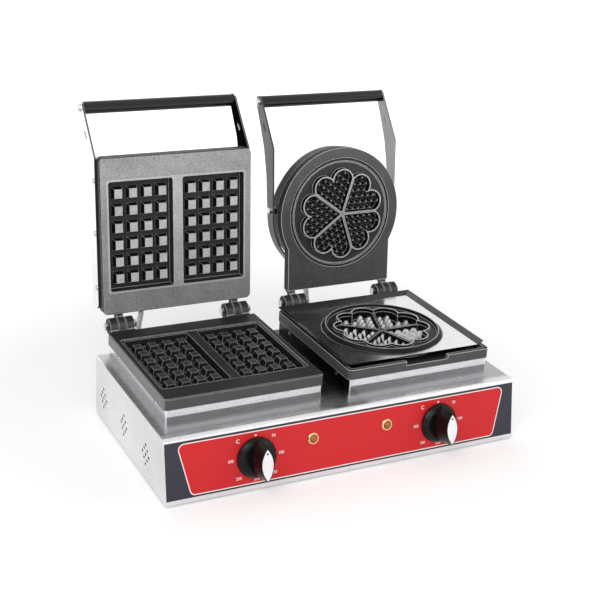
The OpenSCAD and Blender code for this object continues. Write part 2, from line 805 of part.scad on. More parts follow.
// a tubular heater: runs along x joined by half turns, its axis at z = 0
module heater_coil(w, step, runs) {
    for (i = [0:runs - 1]) translate([0, (i - (runs - 1) / 2) * step, 0]) tube_x(heater_r, w);
    for (i = [0:runs - 2]) let(side = i % 2 == 0 ? 1 : -1)
        translate([side * w / 2, (i + 1 - runs / 2) * step, 0]) rotate([0, 0, side > 0 ? -90 : 90])
            rotate_extrude(angle = 180) translate([step / 2, 0]) circle(heater_r, $fn = 32);
}

module left_lower_heater() {
    color("brown") framed() at_unit(-1, plate_z0 - heater_r - 0.1) heater_coil(plate_w * 0.62, plate_d * 0.18, 4);
}

module right_lower_heater() {
    color("brown") framed() at_unit(1, plate_z0 - heater_r - 0.1) rotate(90)
        heater_coil(plate_d * 0.42, plate_w * 0.18, 4);
}

module left_upper_heater() {
    color("brown") framed() at_lid(-1) translate([0, -lid_uc, lid_back_h + heater_r + 0.1])
        heater_coil(plate_w * 0.62, plate_d * 0.18, 4);
}

module right_upper_heater() {
    color("brown") framed() at_lid(1) translate([0, -heart_uc, disc_h1 + heater_r + 0.1])
        heater_coil(drum_r * 0.95, drum_r * 0.35, 4);
}

// ---- square lid ------------------------------------------------------------------------------

module left_upper_plate() {
    color(cast) framed() at_lid(-1) translate([0, -lid_uc, face_h]) {
        mirror([0, 0, 1]) translate([0, 0, -plate_t]) difference() {
            union() {
                slab(plate_w, plate_d, plate_t, plate_corner_r + 2, edge_break);
                translate([0, 0, plate_t - 1]) linear_extrude(plateau_h + 1)
                    rounded(grid_w - 2 * plateau_clear, grid_d - 2 * plateau_clear, 4);
            }
            translate([0, 0, plate_t + plateau_h]) cavities();
        }
    }
}

module left_upper_pegs() {
    color(cast) framed() at_lid(-1) translate([0, -lid_uc, face_h]) mirror([0, 0, 1])
        translate([0, 0, plateau_h]) peg_fields();
}

module left_lid_casing() {
    w = plate_w;
    d = plate_d - 6;
    color(steel) framed() at_lid(-1) translate([0, -lid_uc, lid_back_h]) difference() {
        slab(w, d, casing_h, 6, 7);
        translate([0, 0, -casing_t]) slab(w - 2 * casing_t, d - 2 * casing_t, casing_h, 5, 7);
        translate([left_conduit_dx, d / 2, left_conduit_h - lid_back_h]) rotate([90, 0, 0])
            cylinder(h = 12, r = gland_r - 3, center = true);
    }
}

module left_lid_insulation() {
    z0 = 2 * heater_r + 0.3;
    color("ivory") framed() at_lid(-1) translate([0, -lid_uc, lid_back_h + z0])
        linear_extrude(casing_h - casing_t - z0 - 0.2) square([plate_w - 30, plate_d - 36], center = true);
}

// side outline of the square lid's arm: how far from the hinge axis, how high
module square_arm_outline() {
    g = [grip_reach, grip_rise];
    difference() {
        union() {
            polygon([[32, 11.5], [256, 11.5], g + [6.7, -8], g + [-7.3, 7.5], [267, 55], [200, 38], [34, 38],
                     [25, 30], [25, 18]]);
            translate(g) circle(arm_end_r + 0.5);
        }
        translate(g) circle(hinge_bolt_r + 0.1);
        arm_slot(g - [37, 24], 42);
    }
}

module arm_slot(at, turn) {
    translate(at) rotate(turn) {
        square([10, 5], center = true);
        for (e = [-5, 5]) translate([e, 0]) circle(2.5, $fn = 24);
    }
}

// a side outline stood up beside the lid, x from 0 to arm_t
module arm_plate() {
    rotate([90, 0, 90]) linear_extrude(arm_t) mirror([1, 0]) children();
}

module left_lid_arms() {
    color(steel) framed() at_lid(-1) {
        translate([arm_x, 0, 0]) arm_plate() square_arm_outline();
        translate([-arm_x - arm_t, 0, 0]) arm_plate() square_arm_outline();
    }
}

module left_arm_screws() {
    color("gray") framed() at_lid(-1) for (side = [-1, 1], u = arm_screws_u)
        translate([side * (arm_x + arm_t), -u, arm_screw_h]) rotate([0, side * 90, 0])
            cylinder(h = screw_head_h, r = screw_head_r, $fn = 32);
}

// a grip between two arms, bored at both ends for its bolts
module grip(half) {
    difference() {
        tube_x(grip_r, 2 * half);
        for (side = [-1, 1]) translate([side * (half - 10), 0, 0]) tube_x(hinge_bolt_r + 0.02, 22);
    }
}

module grip_bolts(half) {
    for (side = [-1, 1]) translate([side * (half + arm_t), 0, 0]) rotate([0, side * 90, 0]) {
        cylinder(h = 1, r = 6, $fn = 32);
        translate([0, 0, 1 - eps]) cylinder(h = 2.5, r = 5, $fn = 6);
        translate([0, 0, -arm_t - 18]) cylinder(h = arm_t + 18 + eps, r = hinge_bolt_r, $fn = 32);
    }
}

module left_grip() {
    color("black") framed() at_lid(-1) translate([0, -grip_reach, grip_rise]) grip(arm_x);
}

module left_grip_bolts() {
    color("gray") framed() at_lid(-1) translate([0, -grip_reach, grip_rise]) grip_bolts(arm_x);
}

module left_lid_gland() {
    color(steel) framed() at_lid(-1) translate([left_conduit_dx, -lid_uc + plate_d / 2 - 3, left_conduit_h])
        rotate([-90, 0, 0]) lid_gland();
}

module lid_gland() {
    difference() {
        union() {
            cylinder(h = 4, r = gland_r - 1, $fn = 6);
            cylinder(h = gland_len, r = gland_r - 2);
            translate([0, 0, -4]) cylinder(h = 4 + eps, r = gland_r - 3.2);
        }
        translate([0, 0, -5]) cylinder(h = gland_len + 10, r = conduit_r - 1.5);
    }
}

// ---- heart lid -------------------------------------------------------------------------------

upper_turn = lower_turn;
upper_recess = 2;

// the upper heart plate with its rim at z = 0, its body below and its hearts standing above
module heart_disc() {
    difference() {
        union() {
            difference() {
                translate([0, 0, -disc_t]) cylinder(h = disc_t, r = disc_r);
                translate([0, 0, -upper_recess]) cylinder(h = 10, r = ring_r - bead_r - 2.5);
                bead(0);
            }
            translate([0, 0, -disc_t / 2]) linear_extrude(disc_t / 2 + heart_proud) rotate(upper_turn) flower(lobe_r);
        }
        translate([0, 0, heart_proud]) rotate(upper_turn) heart_cutter(heart_depth, lobe_r - heart_wall);
    }
}

module right_upper_pegs() {
    color(cast) framed() at_lid(1) translate([0, -heart_uc, heart_face_h - heart_proud]) mirror([0, 0, 1])
        rotate(upper_turn) intersection() {
            heart_peg_fields(upper_pegs, heart_depth);
            for (k = [0:hearts - 1]) rotate(k * 360 / hearts)
                translate([0, 0, -heart_depth - 1]) linear_extrude(heart_depth + 1) heart_cavity(upper_pegs[5] - 0.05);
        }
}

module right_upper_plate() {
    color(cast) framed() at_lid(1) {
        translate([0, -heart_uc, heart_face_h]) mirror([0, 0, 1]) heart_disc();
        difference() {
            translate([-tongue_hw, -heart_uc, tongue_h0])
                cube([2 * tongue_hw, heart_uc - hinge_back, disc_h1 - tongue_h0]);
            translate([0, -heart_uc, tongue_h0 - 1]) cylinder(h = disc_t + 2, r = disc_r - 1);
        }
    }
}

module right_lid_drum() {
    color("black") framed() at_lid(1) translate([0, -heart_uc, disc_h1]) difference() {
        cylinder(h = drum_h, r = drum_r, $fn = 96);
        translate([0, 0, -1]) cylinder(h = drum_h + 2, r = drum_r - drum_t, $fn = 96);
        for (side = [-1, 1]) translate([side * drum_r, -yoke_bolt_ahead, yoke_mid - disc_h1])
            tube_x(hinge_bolt_r + 0.1, 12);
    }
}

module right_lid_cover() {
    color(steel) framed() at_lid(1) translate([0, -heart_uc, drum_top]) difference() {
        rotate_extrude($fn = 96) polygon([[0, 0], [drum_r, 0], [drum_r + 0.8, 0.6], [drum_r + 0.8, cover_h - 0.4],
                                          [drum_r, cover_h], [0, cover_h]]);
        translate([right_conduit_dx, heart_uc - right_conduit_u, -1]) cylinder(h = cover_h + 2, r = gland_r - 3);
    }
}

module right_lid_insulation() {
    z0 = 2 * heater_r + 0.3;
    color("ivory") framed() at_lid(1) translate([0, -heart_uc, disc_h1 + z0]) difference() {
        cylinder(h = drum_h - z0 - 0.2, r = drum_r - drum_t - 8);
        translate([right_conduit_dx, heart_uc - right_conduit_u, -1]) cylinder(h = drum_h, r = gland_r);
    }
}

yoke_h0 = 24;
yoke_h1 = 44;
yoke_mid = (yoke_h0 + yoke_h1) / 2;
yoke_bolt_ahead = 8;

module heart_arm_outline() {
    g = [heart_grip_reach, heart_grip_rise];
    difference() {
        union() {
            polygon([[heart_uc, yoke_h0], [248, 26], g + [7, -7], g + [-7, 7], [277, 73], [244, 59], [201, 49],
                     [heart_uc, yoke_h1]]);
            translate(g) circle(arm_end_r);
        }
        translate(g) circle(hinge_bolt_r + 0.1);
        arm_slot(g - [37, 22], 36);
        translate([heart_uc + yoke_bolt_ahead, yoke_mid]) circle(hinge_bolt_r + 0.1);
    }
}

module right_yoke() {
    color(steel) framed() at_lid(1) {
        translate([0, -heart_uc, yoke_h0]) difference() {
            linear_extrude(yoke_h1 - yoke_h0) intersection() {
                difference() {
                    circle(yoke_r + arm_t, $fn = 96);
                    circle(yoke_r, $fn = 96);
                }
                translate([-200, 0]) square([400, 200]);
            }
        }
        translate([yoke_r, 0, 0]) arm_plate() heart_arm_outline();
        translate([-yoke_r - arm_t, 0, 0]) arm_plate() heart_arm_outline();
    }
}

module right_yoke_bolts() {
    color("gray") framed() at_lid(1) for (side = [-1, 1])
        translate([side * (yoke_r + arm_t), -heart_uc - yoke_bolt_ahead, yoke_mid]) rotate([0, side * 90, 0]) {
            cylinder(h = 3, r = 5.4, $fn = 6);
            translate([0, 0, -arm_t - yoke_gap - 4]) cylinder(h = arm_t + yoke_gap + 4 + eps, r = hinge_bolt_r, $fn = 32);
            translate([0, 0, -arm_t - yoke_gap + 0.4]) cylinder(h = yoke_gap - 0.4, r = 6.5, $fn = 32);
        }
}

module right_grip() {
    color("black") framed() at_lid(1) translate([0, -heart_grip_reach, heart_grip_rise]) grip(yoke_r);
}

module right_grip_bolts() {
    color("gray") framed() at_lid(1) translate([0, -heart_grip_reach, heart_grip_rise]) grip_bolts(yoke_r);
}

module right_lid_gland() {
    color(steel) framed() at_lid(1) translate([right_conduit_dx, -right_conduit_u, drum_top + cover_h]) lid_gland();
}

// ---- conduits --------------------------------------------------------------------------------

// where a point of the closed lid, y back and h up from the axis, lies when the lid is open
function opened(y, h) = [hinge_y + y * cos(open_angle) + h * sin(open_angle),
                         hinge_z - y * sin(open_angle) + h * cos(open_angle)];

left_gland_tip = opened(-hinge_back - 3 + gland_len, left_conduit_h);
right_gland_tip = opened(-right_conduit_u, drum_top + cover_h + gland_len);
rear_gland_tip = [conduit_y0 + gland_len, conduit_z0];
conduit_end = 5;

// a route's inner points, each given by its share of the way back and up between two places
function way(a, b, shares) = [for (q = shares) [a.x + q.x * (b.x - a.x), a.y + q.y * (b.y - a.y)]];

left_route = concat(
    [rear_gland_tip, rear_gland_tip + [conduit_end, 0]],
    way(rear_gland_tip, left_gland_tip, [[0.85, 0.02], [1.25, 0.14], [1.42, 0.32], [1.4, 0.54], [1.22, 0.76]]),
    [left_gland_tip + conduit_end * [cos(open_angle), -sin(open_angle)], left_gland_tip]);

right_route = concat(
    [rear_gland_tip, rear_gland_tip + [conduit_end, 0]],
    way(rear_gland_tip, right_gland_tip,
        [[0.52, 0.03], [0.82, 0.11], [1.05, 0.25], [1.2, 0.42], [1.3, 0.6], [1.34, 0.78], [1.26, 0.93]]),
    [right_gland_tip + conduit_end * [sin(open_angle), cos(open_angle)], right_gland_tip]);

// a round tube swept along points that share one x
module sweep_yz(x, pts, r) {
    n = len(pts);
    dirs = [for (i = [0:n - 1]) let(d = pts[min(i + 1, n - 1)] - pts[max(i - 1, 0)]) d / norm(d)];
    rings = [for (i = [0:n - 1], k = [0:conduit_sides - 1])
        let(a = 360 * k / conduit_sides, side = [-dirs[i].y, dirs[i].x])
        [x + r * cos(a), pts[i].x + r * sin(a) * side.x, pts[i].y + r * sin(a) * side.y]];
    walls = [for (i = [0:n - 2], k = [0:conduit_sides - 1])
        let(k2 = (k + 1) % conduit_sides, a = i * conduit_sides, b = a + conduit_sides)
        [a + k, a + k2, b + k2, b + k]];
    ends = [[for (k = [conduit_sides - 1:-1:0]) k], [for (k = [0:conduit_sides - 1]) (n - 1) * conduit_sides + k]];
    polyhedron(rings, concat(walls, ends));
}

module left_conduit() { color("beige") framed() sweep_yz(-unit_dx + left_conduit_dx, left_route, conduit_r); }

module right_conduit() { color("beige") framed() sweep_yz(heart_dx + right_conduit_dx, right_route, conduit_r); }

// ---- knobs -----------------------------------------------------------------------------------

module at_knob(side) {
    front_frame() translate([side * knob_dx, -label_t - fascia_t, knob_s]) rotate([90, 0, 0]) children();
}

// a pointed oval, w across and l along
module lens_shape(w, l) {
    r = (l * l + w * w) / (4 * w);
    intersection() {
        translate([r - w / 2, 0]) circle(r, $fn = 96);
        translate([w / 2 - r, 0]) circle(r, $fn = 96);
    }
}

module knob(side) {
    color("black") framed() at_knob(side) difference() {
        union() {
            rotate_extrude() polygon([[0, knob_gap], [knob_r - 0.8, knob_gap], [knob_r, knob_gap + 0.8],
                                      [knob_r - 0.6, knob_gap + 3], [knob_r - 4, knob_skirt_h - 1],
                                      [knob_r - 8, knob_skirt_h], [0, knob_skirt_h]]);
            hull() {
                translate([0, 0, knob_skirt_h - 3]) linear_extrude(1) lens_shape(30, 2 * knob_r - 4);
                translate([0, 0, knob_out - 4]) linear_extrude(4) lens_shape(knob_wing_w, knob_wing_l);
            }
        }
        translate([0, 0, -1]) cylinder(h = 21, r = shaft_r + 0.02);
        translate([0, 0, knob_out - insert_t]) linear_extrude(2) lens_shape(insert_w, knob_wing_l - 3);
    }
}

module left_knob() { knob(-1); }

module right_knob() { knob(1); }

module knob_insert(side) {
    color("silver") framed() at_knob(side) translate([0, 0, knob_out - insert_t]) linear_extrude(insert_t) difference() {
        lens_shape(insert_w, knob_wing_l - 3);
        translate([0, knob_wing_l / 2 - 7.5]) circle(1.5, $fn = 24);
    }
}

module left_knob_insert() { knob_insert(-1); }

module right_knob_insert() { knob_insert(1); }

module knob_shaft(side) {
    color("gray") framed() at_knob(side) translate([0, 0, -label_t - fascia_t - sheet_t - 10])
        cylinder(h = 30 + label_t + fascia_t + sheet_t, r = shaft_r, $fn = 32);
}

module left_knob_shaft() { knob_shaft(-1); }

module right_knob_shaft() { knob_shaft(1); }

// ---- nodes -----------------------------------------------------------------------------------

housing_shell();
left_side_panel();
right_side_panel();
bottom_cover();
rubber_feet();
control_label();
red_fascia();
lamp_bezels();
lamp_lenses();
left_thermostat();
right_thermostat();
terminal_block();
mains_gland();
conduit_glands();
left_skirt();
right_skirt();
skirt_screws();
left_lower_plate();
left_lower_pegs();
right_lower_plate();
right_lower_pegs();
drip_tray();
left_lower_hinges();
right_lower_hinges();
left_hinge_bolts();
right_hinge_bolts();
left_lower_heater();
right_lower_heater();
left_conduit();
right_conduit();
left_upper_plate();
left_upper_pegs();
left_lid_casing();
left_lid_arms();
left_arm_screws();
left_grip();
left_grip_bolts();
left_upper_hinges();
left_upper_heater();
left_lid_insulation();
left_lid_gland();
right_upper_plate();
right_upper_pegs();
right_lid_drum();
right_lid_cover();
right_yoke();
right_yoke_bolts();
right_grip();
right_grip_bolts();
right_upper_hinges();
right_upper_heater();
right_lid_insulation();
right_lid_gland();
left_knob();
left_knob_insert();
left_knob_shaft();
right_knob();
right_knob_insert();
right_knob_shaft();
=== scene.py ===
"""Twin waffle baker: finishes, prints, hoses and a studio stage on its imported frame."""

import math

import bmesh
import bpy
from mathutils import Matrix, Vector


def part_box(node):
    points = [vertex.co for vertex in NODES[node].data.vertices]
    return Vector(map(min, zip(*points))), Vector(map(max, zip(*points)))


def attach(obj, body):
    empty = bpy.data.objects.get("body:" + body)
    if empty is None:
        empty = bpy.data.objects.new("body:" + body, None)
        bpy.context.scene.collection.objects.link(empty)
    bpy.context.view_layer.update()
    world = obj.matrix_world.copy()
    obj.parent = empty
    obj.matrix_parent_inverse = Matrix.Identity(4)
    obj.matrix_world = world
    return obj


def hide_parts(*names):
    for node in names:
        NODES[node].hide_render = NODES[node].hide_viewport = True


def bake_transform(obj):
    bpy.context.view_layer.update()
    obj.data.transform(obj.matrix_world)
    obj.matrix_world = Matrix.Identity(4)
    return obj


bl_info = {
    "name": "Twin Waffle Baker",
    "version": (1, 0, 0),
    "blender": (4, 5, 0),
    "location": "View3D > Sidebar > Waffle Baker",
    "description": "Dresses the frame of a twin waffle baker and sets up its studio",
    "category": "Object",
}

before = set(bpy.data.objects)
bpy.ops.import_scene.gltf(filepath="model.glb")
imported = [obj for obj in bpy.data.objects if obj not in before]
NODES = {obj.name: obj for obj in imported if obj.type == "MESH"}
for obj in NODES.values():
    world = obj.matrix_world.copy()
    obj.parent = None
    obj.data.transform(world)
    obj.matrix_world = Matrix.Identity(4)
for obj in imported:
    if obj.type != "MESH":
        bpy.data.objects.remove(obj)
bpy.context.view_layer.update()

MM = 0.001
LEFT, RIGHT = (-1, 0, 0), (1, 0, 0)
FRONT, BACK = (0, -1, 0), (0, 1, 0)
DOWN, UP = (0, 0, -1), (0, 0, 1)
LID_LEAN = math.radians(5)
LID_OUT = (0, -math.cos(LID_LEAN), math.sin(LID_LEAN))  # the way an open lid's cooking side faces

HINGE_NODES = (
    "left_lower_hinges", "right_lower_hinges", "left_upper_hinges", "right_upper_hinges",
)
FASTENER_NODES = (
    "skirt_screws", "left_hinge_bolts", "right_hinge_bolts", "left_arm_screws", "left_grip_bolts",
    "right_grip_bolts", "right_yoke_bolts", "left_knob_shaft", "right_knob_shaft",
)
ROUNDED_FASTENERS = (
    "left_hinge_bolts", "right_hinge_bolts", "left_grip_bolts", "right_grip_bolts", "right_yoke_bolts",
)
HEATER_NODES = (
    "left_lower_heater", "right_lower_heater", "left_upper_heater", "right_upper_heater",
)

# Where a finish changes, in metres along a direction at rest: where it starts and where it is full.
TOP_SHADE = (-0.176, -0.168)  # to the back: the top sheet behind its folded front edge, with a painted dark reflection
GAP_EDGES = ((RIGHT, -0.030), (LEFT, -0.040))  # the strip of top sheet between the units
GAP_BLUR = 12 * MM
GAP_SHADE = (-0.160, -0.125)  # to the back: the deep part of that strip, where the painted shade is darkest
SKIRT_FOLD = (0.1022, 0.1030)  # up: the edge between a skirt's lower and upper band
VENT_EDGES = ((UP, 0.022), (DOWN, -0.080), (BACK, -0.160), (FRONT, -0.120))  # round a panel's holes
VENT_BLUR = 1 * MM
CAVITY_BLUR = 0.5 * MM
LEVEL_BLUR = 0.3 * MM
TRAY_SHADE = (0.06, 0.20)  # to the right: the drip tray from its painted dark reflection to its bright end
RIGHT_ARM = (-0.10, -0.05)  # to the right: only the right arm of the left lid
NEAR_YOKE = (-0.12, -0.08)  # to the left: only the left arm of the yoke

# The red field of the control panel: half its foot, half its top, its low and its high edge.
RED_FIELD = (0.2440, 0.2625, 0.0090, 0.0845)
FIELD_RADIUS = 8.5 * MM
ARC_STEPS = 8
PRINT_LIFT = 0.84 * MM  # from the panel's sheet to the middle of the print
LINE_LIFT = 0.86 * MM
INK = 0.04 * MM  # thickness of raised print
FILM = 0.06 * MM  # thickness of the film over the field's corners

FLOOR_GLOW = (0.2, 0.8, 0.45, 1.6)  # near and far strength, and how many metres near and far are
EDGE_LEAN = (0.02, 0.12)  # how much a normal leans where a painted edge highlight starts and where it is full
BEVEL_ANGLE = math.radians(40)  # edges sharper than this are rounded
FONT_SIZE = 1.38  # font size of a letter one unit high
FONT_WEIGHT = 0.012  # how far a letter's outline is pushed out, for its height


# ---- settings --------------------------------------------


class WaffleBakerFinishes(bpy.types.PropertyGroup):
    """Colours and roughness of the baker's surfaces."""

    steel: bpy.props.FloatVectorProperty(
        name="Stainless steel", description="Colour of the brushed housing", subtype="COLOR",
        size=3, min=0, max=1, default=(0.74, 0.74, 0.755))
    steel_roughness: bpy.props.FloatProperty(
        name="Steel roughness", description="Roughness of the brushed steel", default=0.27, min=0, max=1)
    bare_cast: bpy.props.FloatVectorProperty(
        name="Bare casting", description="Colour of the square lid's rubbed faces", subtype="COLOR",
        size=3, min=0, max=1, default=(0.27, 0.27, 0.275))
    dark_cast: bpy.props.FloatVectorProperty(
        name="Dark casting", description="Colour of the seasoned cast plates", subtype="COLOR",
        size=3, min=0, max=1, default=(0.045, 0.045, 0.047))
    # Near black painted on the flanks of pegs and cavities as their shade.
    flank_shade: bpy.props.FloatVectorProperty(
        name="Cavity black", description="Colour of the baked-in flanks of pegs and cavities",
        subtype="COLOR", size=3, min=0, max=1, default=(0.006, 0.006, 0.0065))
    shadow: bpy.props.FloatVectorProperty(
        name="Shadow black", description="Colour inside cooling holes and of dark reflections",
        subtype="COLOR", size=3, min=0, max=1, default=(0.004, 0.004, 0.004))
    fascia: bpy.props.FloatVectorProperty(
        name="Fascia red", description="Colour of the red control panel", subtype="COLOR",
        size=3, min=0, max=1, default=(0.63, 0.018, 0.022))
    film: bpy.props.FloatVectorProperty(
        name="Film grey", description="Colour of the film round the red panel", subtype="COLOR",
        size=3, min=0, max=1, default=(0.034, 0.032, 0.046))
    print_white: bpy.props.FloatVectorProperty(
        name="Print white", description="Colour of the printed lines and numbers", subtype="COLOR",
        size=3, min=0, max=1, default=(0.92, 0.86, 0.86))
    plastic: bpy.props.FloatVectorProperty(
        name="Black plastic", description="Colour of knobs and grips", subtype="COLOR",
        size=3, min=0, max=1, default=(0.004, 0.0035, 0.004))
    knob_insert: bpy.props.FloatVectorProperty(
        name="Knob insert", description="Colour of the knobs' bright inserts", subtype="COLOR",
        size=3, min=0, max=1, default=(0.82, 0.82, 0.84))
    brass: bpy.props.FloatVectorProperty(
        name="Brass", description="Colour of the lamp bezels", subtype="COLOR",
        size=3, min=0, max=1, default=(0.78, 0.56, 0.27))
    amber_dark: bpy.props.FloatVectorProperty(
        name="Deep amber", description="Darker colour of the lamp lenses", subtype="COLOR",
        size=3, min=0, max=1, default=(0.42, 0.12, 0.02))
    amber_light: bpy.props.FloatVectorProperty(
        name="Light amber", description="Lighter colour of the lamp lenses", subtype="COLOR",
        size=3, min=0, max=1, default=(0.66, 0.26, 0.05))
    zinc: bpy.props.FloatVectorProperty(
        name="Zinc", description="Colour of bolts and screws", subtype="COLOR",
        size=3, min=0, max=1, default=(0.62, 0.62, 0.63))
    nickel: bpy.props.FloatVectorProperty(
        name="Nickel", description="Colour of the hose glands", subtype="COLOR",
        size=3, min=0, max=1, default=(0.6, 0.6, 0.6))
    braid: bpy.props.FloatVectorProperty(
        name="Braid", description="Colour of the hoses' wire braid", subtype="COLOR",
        size=3, min=0, max=1, default=(0.55, 0.55, 0.56))
    heater_dark: bpy.props.FloatVectorProperty(
        name="Heater, dark", description="Darker stain of the heaters", subtype="COLOR",
        size=3, min=0, max=1, default=(0.09, 0.07, 0.07))
    heater_light: bpy.props.FloatVectorProperty(
        name="Heater, light", description="Lighter stain of the heaters", subtype="COLOR",
        size=3, min=0, max=1, default=(0.24, 0.15, 0.1))
    rubber: bpy.props.FloatVectorProperty(
        name="Rubber", description="Colour of the feet", subtype="COLOR",
        size=3, min=0, max=1, default=(0.012, 0.012, 0.012))
    terminal: bpy.props.FloatVectorProperty(
        name="Terminal block", description="Colour of the terminal block", subtype="COLOR",
        size=3, min=0, max=1, default=(0.7, 0.69, 0.65))
    wool: bpy.props.FloatVectorProperty(
        name="Mineral wool", description="Colour of the lid insulation", subtype="COLOR",
        size=3, min=0, max=1, default=(0.5, 0.46, 0.36))


class WaffleBakerPrints(bpy.types.PropertyGroup):
    """Sizes of what is printed on the control panel."""

    panel_lean: bpy.props.FloatProperty(
        name="Panel lean", description="How far the control panel leans back", subtype="ANGLE",
        default=math.atan(15 / 92))
    panel_front: bpy.props.FloatProperty(
        name="Panel foot", description="How far the panel's foot stands in front of the origin",
        subtype="DISTANCE", default=0.19994)
    panel_foot: bpy.props.FloatProperty(
        name="Panel foot height", description="Height of the panel's foot", subtype="DISTANCE",
        default=0.003)
    knob_dx: bpy.props.FloatProperty(
        name="Knob spacing", description="Distance of each dial from the middle", subtype="DISTANCE",
        default=0.147)
    knob_rise: bpy.props.FloatProperty(
        name="Knob height", description="Height of the dials up the panel", subtype="DISTANCE",
        default=0.0465)
    dial_radius: bpy.props.FloatProperty(
        name="Dial radius", description="Distance of the numbers from the knob's axis",
        subtype="DISTANCE", default=0.038)
    near_radius: bpy.props.FloatProperty(
        name="Near radius", description="Distance of the top and bottom marks from the knob's axis",
        subtype="DISTANCE", default=0.0315)
    number_height: bpy.props.FloatProperty(
        name="Number height", description="Height of the dial numbers", subtype="DISTANCE",
        default=0.0042)
    unit_scale: bpy.props.FloatProperty(
        name="Unit scale", description="How much taller the temperature unit is than the numbers",
        default=1.35)
    dot_radius: bpy.props.FloatProperty(
        name="Dot radius", description="Radius of the dot at the dial's start", subtype="DISTANCE",
        default=0.0015)
    line_width: bpy.props.FloatProperty(
        name="Outline width", description="Width of the white line round the red panel",
        subtype="DISTANCE", default=0.0014)


class WaffleBakerStudio(bpy.types.PropertyGroup):
    """Camera and lights."""

    camera_place: bpy.props.FloatVectorProperty(
        name="Camera place", description="Where the camera stands", subtype="XYZ", size=3,
        unit="LENGTH", default=(-0.79806, -1.52801, 0.87695))
    camera_yaw: bpy.props.FloatProperty(
        name="Camera yaw", description="How far the camera looks to the right", subtype="ANGLE",
        default=math.radians(27.586))
    camera_pitch: bpy.props.FloatProperty(
        name="Camera pitch", description="How far the camera looks down", subtype="ANGLE",
        default=math.radians(21.610))
    camera_roll: bpy.props.FloatProperty(
        name="Camera roll", description="How far the camera is tilted", subtype="ANGLE",
        default=math.radians(3.429))
    camera_lens: bpy.props.FloatProperty(
        name="Lens", description="Focal length in millimetres on a 36 mm sensor", default=74.955)
    key_power: bpy.props.FloatProperty(
        name="Key light", description="Power of the main soft light", subtype="POWER", default=26.0)
    fill_power: bpy.props.FloatProperty(
        name="Fill light", description="Power of the fill light", subtype="POWER", default=9.0)
    back_share: bpy.props.FloatProperty(
        name="Back light", description="Power of the light behind, as a share of the fill light",
        default=0.4)
    strip_power: bpy.props.FloatProperty(
        name="Strip light",
        description="Power of the long narrow light that draws the highlights on round pieces",
        subtype="POWER", default=2.2)
    room_level: bpy.props.FloatProperty(
        name="Room level", description="Brightness of the surrounding room", default=0.62)
    floor_size: bpy.props.FloatProperty(
        name="Floor size", description="How far the floor reaches from the origin", subtype="DISTANCE",
        default=6.0)


# ---- materials -------------------------------------------


def shader(mat):
    """The material's principled shader."""
    return mat.node_tree.nodes["Principled BSDF"]


def finish(name, colour, roughness, metallic=0.0, **sockets):
    """A new principled material; further sockets are given by name with _ for spaces."""
    mat = bpy.data.materials.new(name)
    mat.use_nodes = True
    inputs = shader(mat).inputs
    inputs["Base Color"].default_value = (*colour, 1.0)
    inputs["Roughness"].default_value = roughness
    inputs["Metallic"].default_value = metallic
    for key, value in sockets.items():
        inputs[key.replace("_", " ")].default_value = value
    return mat


def add(owner, kind, **settings):
    """A new node in the tree of a material or a world."""
    node = owner.node_tree.nodes.new(kind)
    for key, value in settings.items():
        setattr(node, key, value)
    return node


def link(owner, source, target):
    """Joins two sockets in the tree of a material or a world."""
    owner.node_tree.links.new(source, target)


def feed(mat, name, source):
    """Drives one of the principled shader's sockets."""
    link(mat, source, shader(mat).inputs[name])


def noise(mat, scale, stretch=(1, 1, 1), detail=3.0, rough=0.55):
    """Noise in the piece's own coordinates; scale is in features per metre."""
    where = add(mat, "ShaderNodeTexCoord")
    squeeze = add(mat, "ShaderNodeMapping")
    squeeze.inputs["Scale"].default_value = stretch
    tex = add(mat, "ShaderNodeTexNoise")
    tex.inputs["Scale"].default_value = scale
    tex.inputs["Detail"].default_value = detail
    tex.inputs["Roughness"].default_value = rough
    link(mat, where.outputs["Object"], squeeze.inputs["Vector"])
    link(mat, squeeze.outputs["Vector"], tex.inputs["Vector"])
    return tex.outputs["Fac"]


def spread(mat, value, low, high, start=0.3, end=0.7):
    """Maps start..end to low..high; without a start and an end, it maps what noise mostly gives."""
    node = add(mat, "ShaderNodeMapRange")
    node.inputs["From Min"].default_value = start
    node.inputs["From Max"].default_value = end
    node.inputs["To Min"].default_value = low
    node.inputs["To Max"].default_value = high
    link(mat, value, node.inputs["Value"])
    return node.outputs["Result"]


def unless(mat, mask):
    """1 where a mask is 0, and 0 where it is 1."""
    return spread(mat, mask, 1.0, 0.0, 0, 1)


def blend_colours(mat, value, dark, light, start=0.35, end=0.65):
    """A colour between dark and light, chosen by value."""
    ramp = add(mat, "ShaderNodeValToRGB")
    ramp.color_ramp.elements[0].position = start
    ramp.color_ramp.elements[0].color = (*dark, 1)
    ramp.color_ramp.elements[1].position = end
    ramp.color_ramp.elements[1].color = (*light, 1)
    link(mat, value, ramp.inputs["Fac"])
    return ramp.outputs["Color"]


def bump(mat, height, strength, distance, under=None):
    """Adds a bump to the material's normal, on top of an earlier one if given."""
    node = add(mat, "ShaderNodeBump")
    node.inputs["Strength"].default_value = strength
    node.inputs["Distance"].default_value = distance
    link(mat, height, node.inputs["Height"])
    if under is not None:
        link(mat, under.outputs["Normal"], node.inputs["Normal"])
    feed(mat, "Normal", node.outputs["Normal"])
    return node


def scaled(colour, factor):
    """A colour times a number, kept to 1 at most."""
    return tuple(min(1.0, c * factor) for c in colour)


def brushed_steel(name, colour, roughness, grain=(0.02, 1, 1)):
    """Steel with fine brush lines; grain squeezes the noise along the lines."""
    mat = finish(name, colour, roughness, metallic=1.0)
    lines = noise(mat, 1500, stretch=grain, detail=2)
    cloud = noise(mat, 9, detail=4)
    feed(mat, "Base Color", blend_colours(mat, cloud, scaled(colour, 0.93), scaled(colour, 1.05)))
    feed(mat, "Roughness", spread(mat, lines, roughness - 0.07, roughness + 0.09))
    bump(mat, lines, 0.12, 0.06 * MM)
    return mat


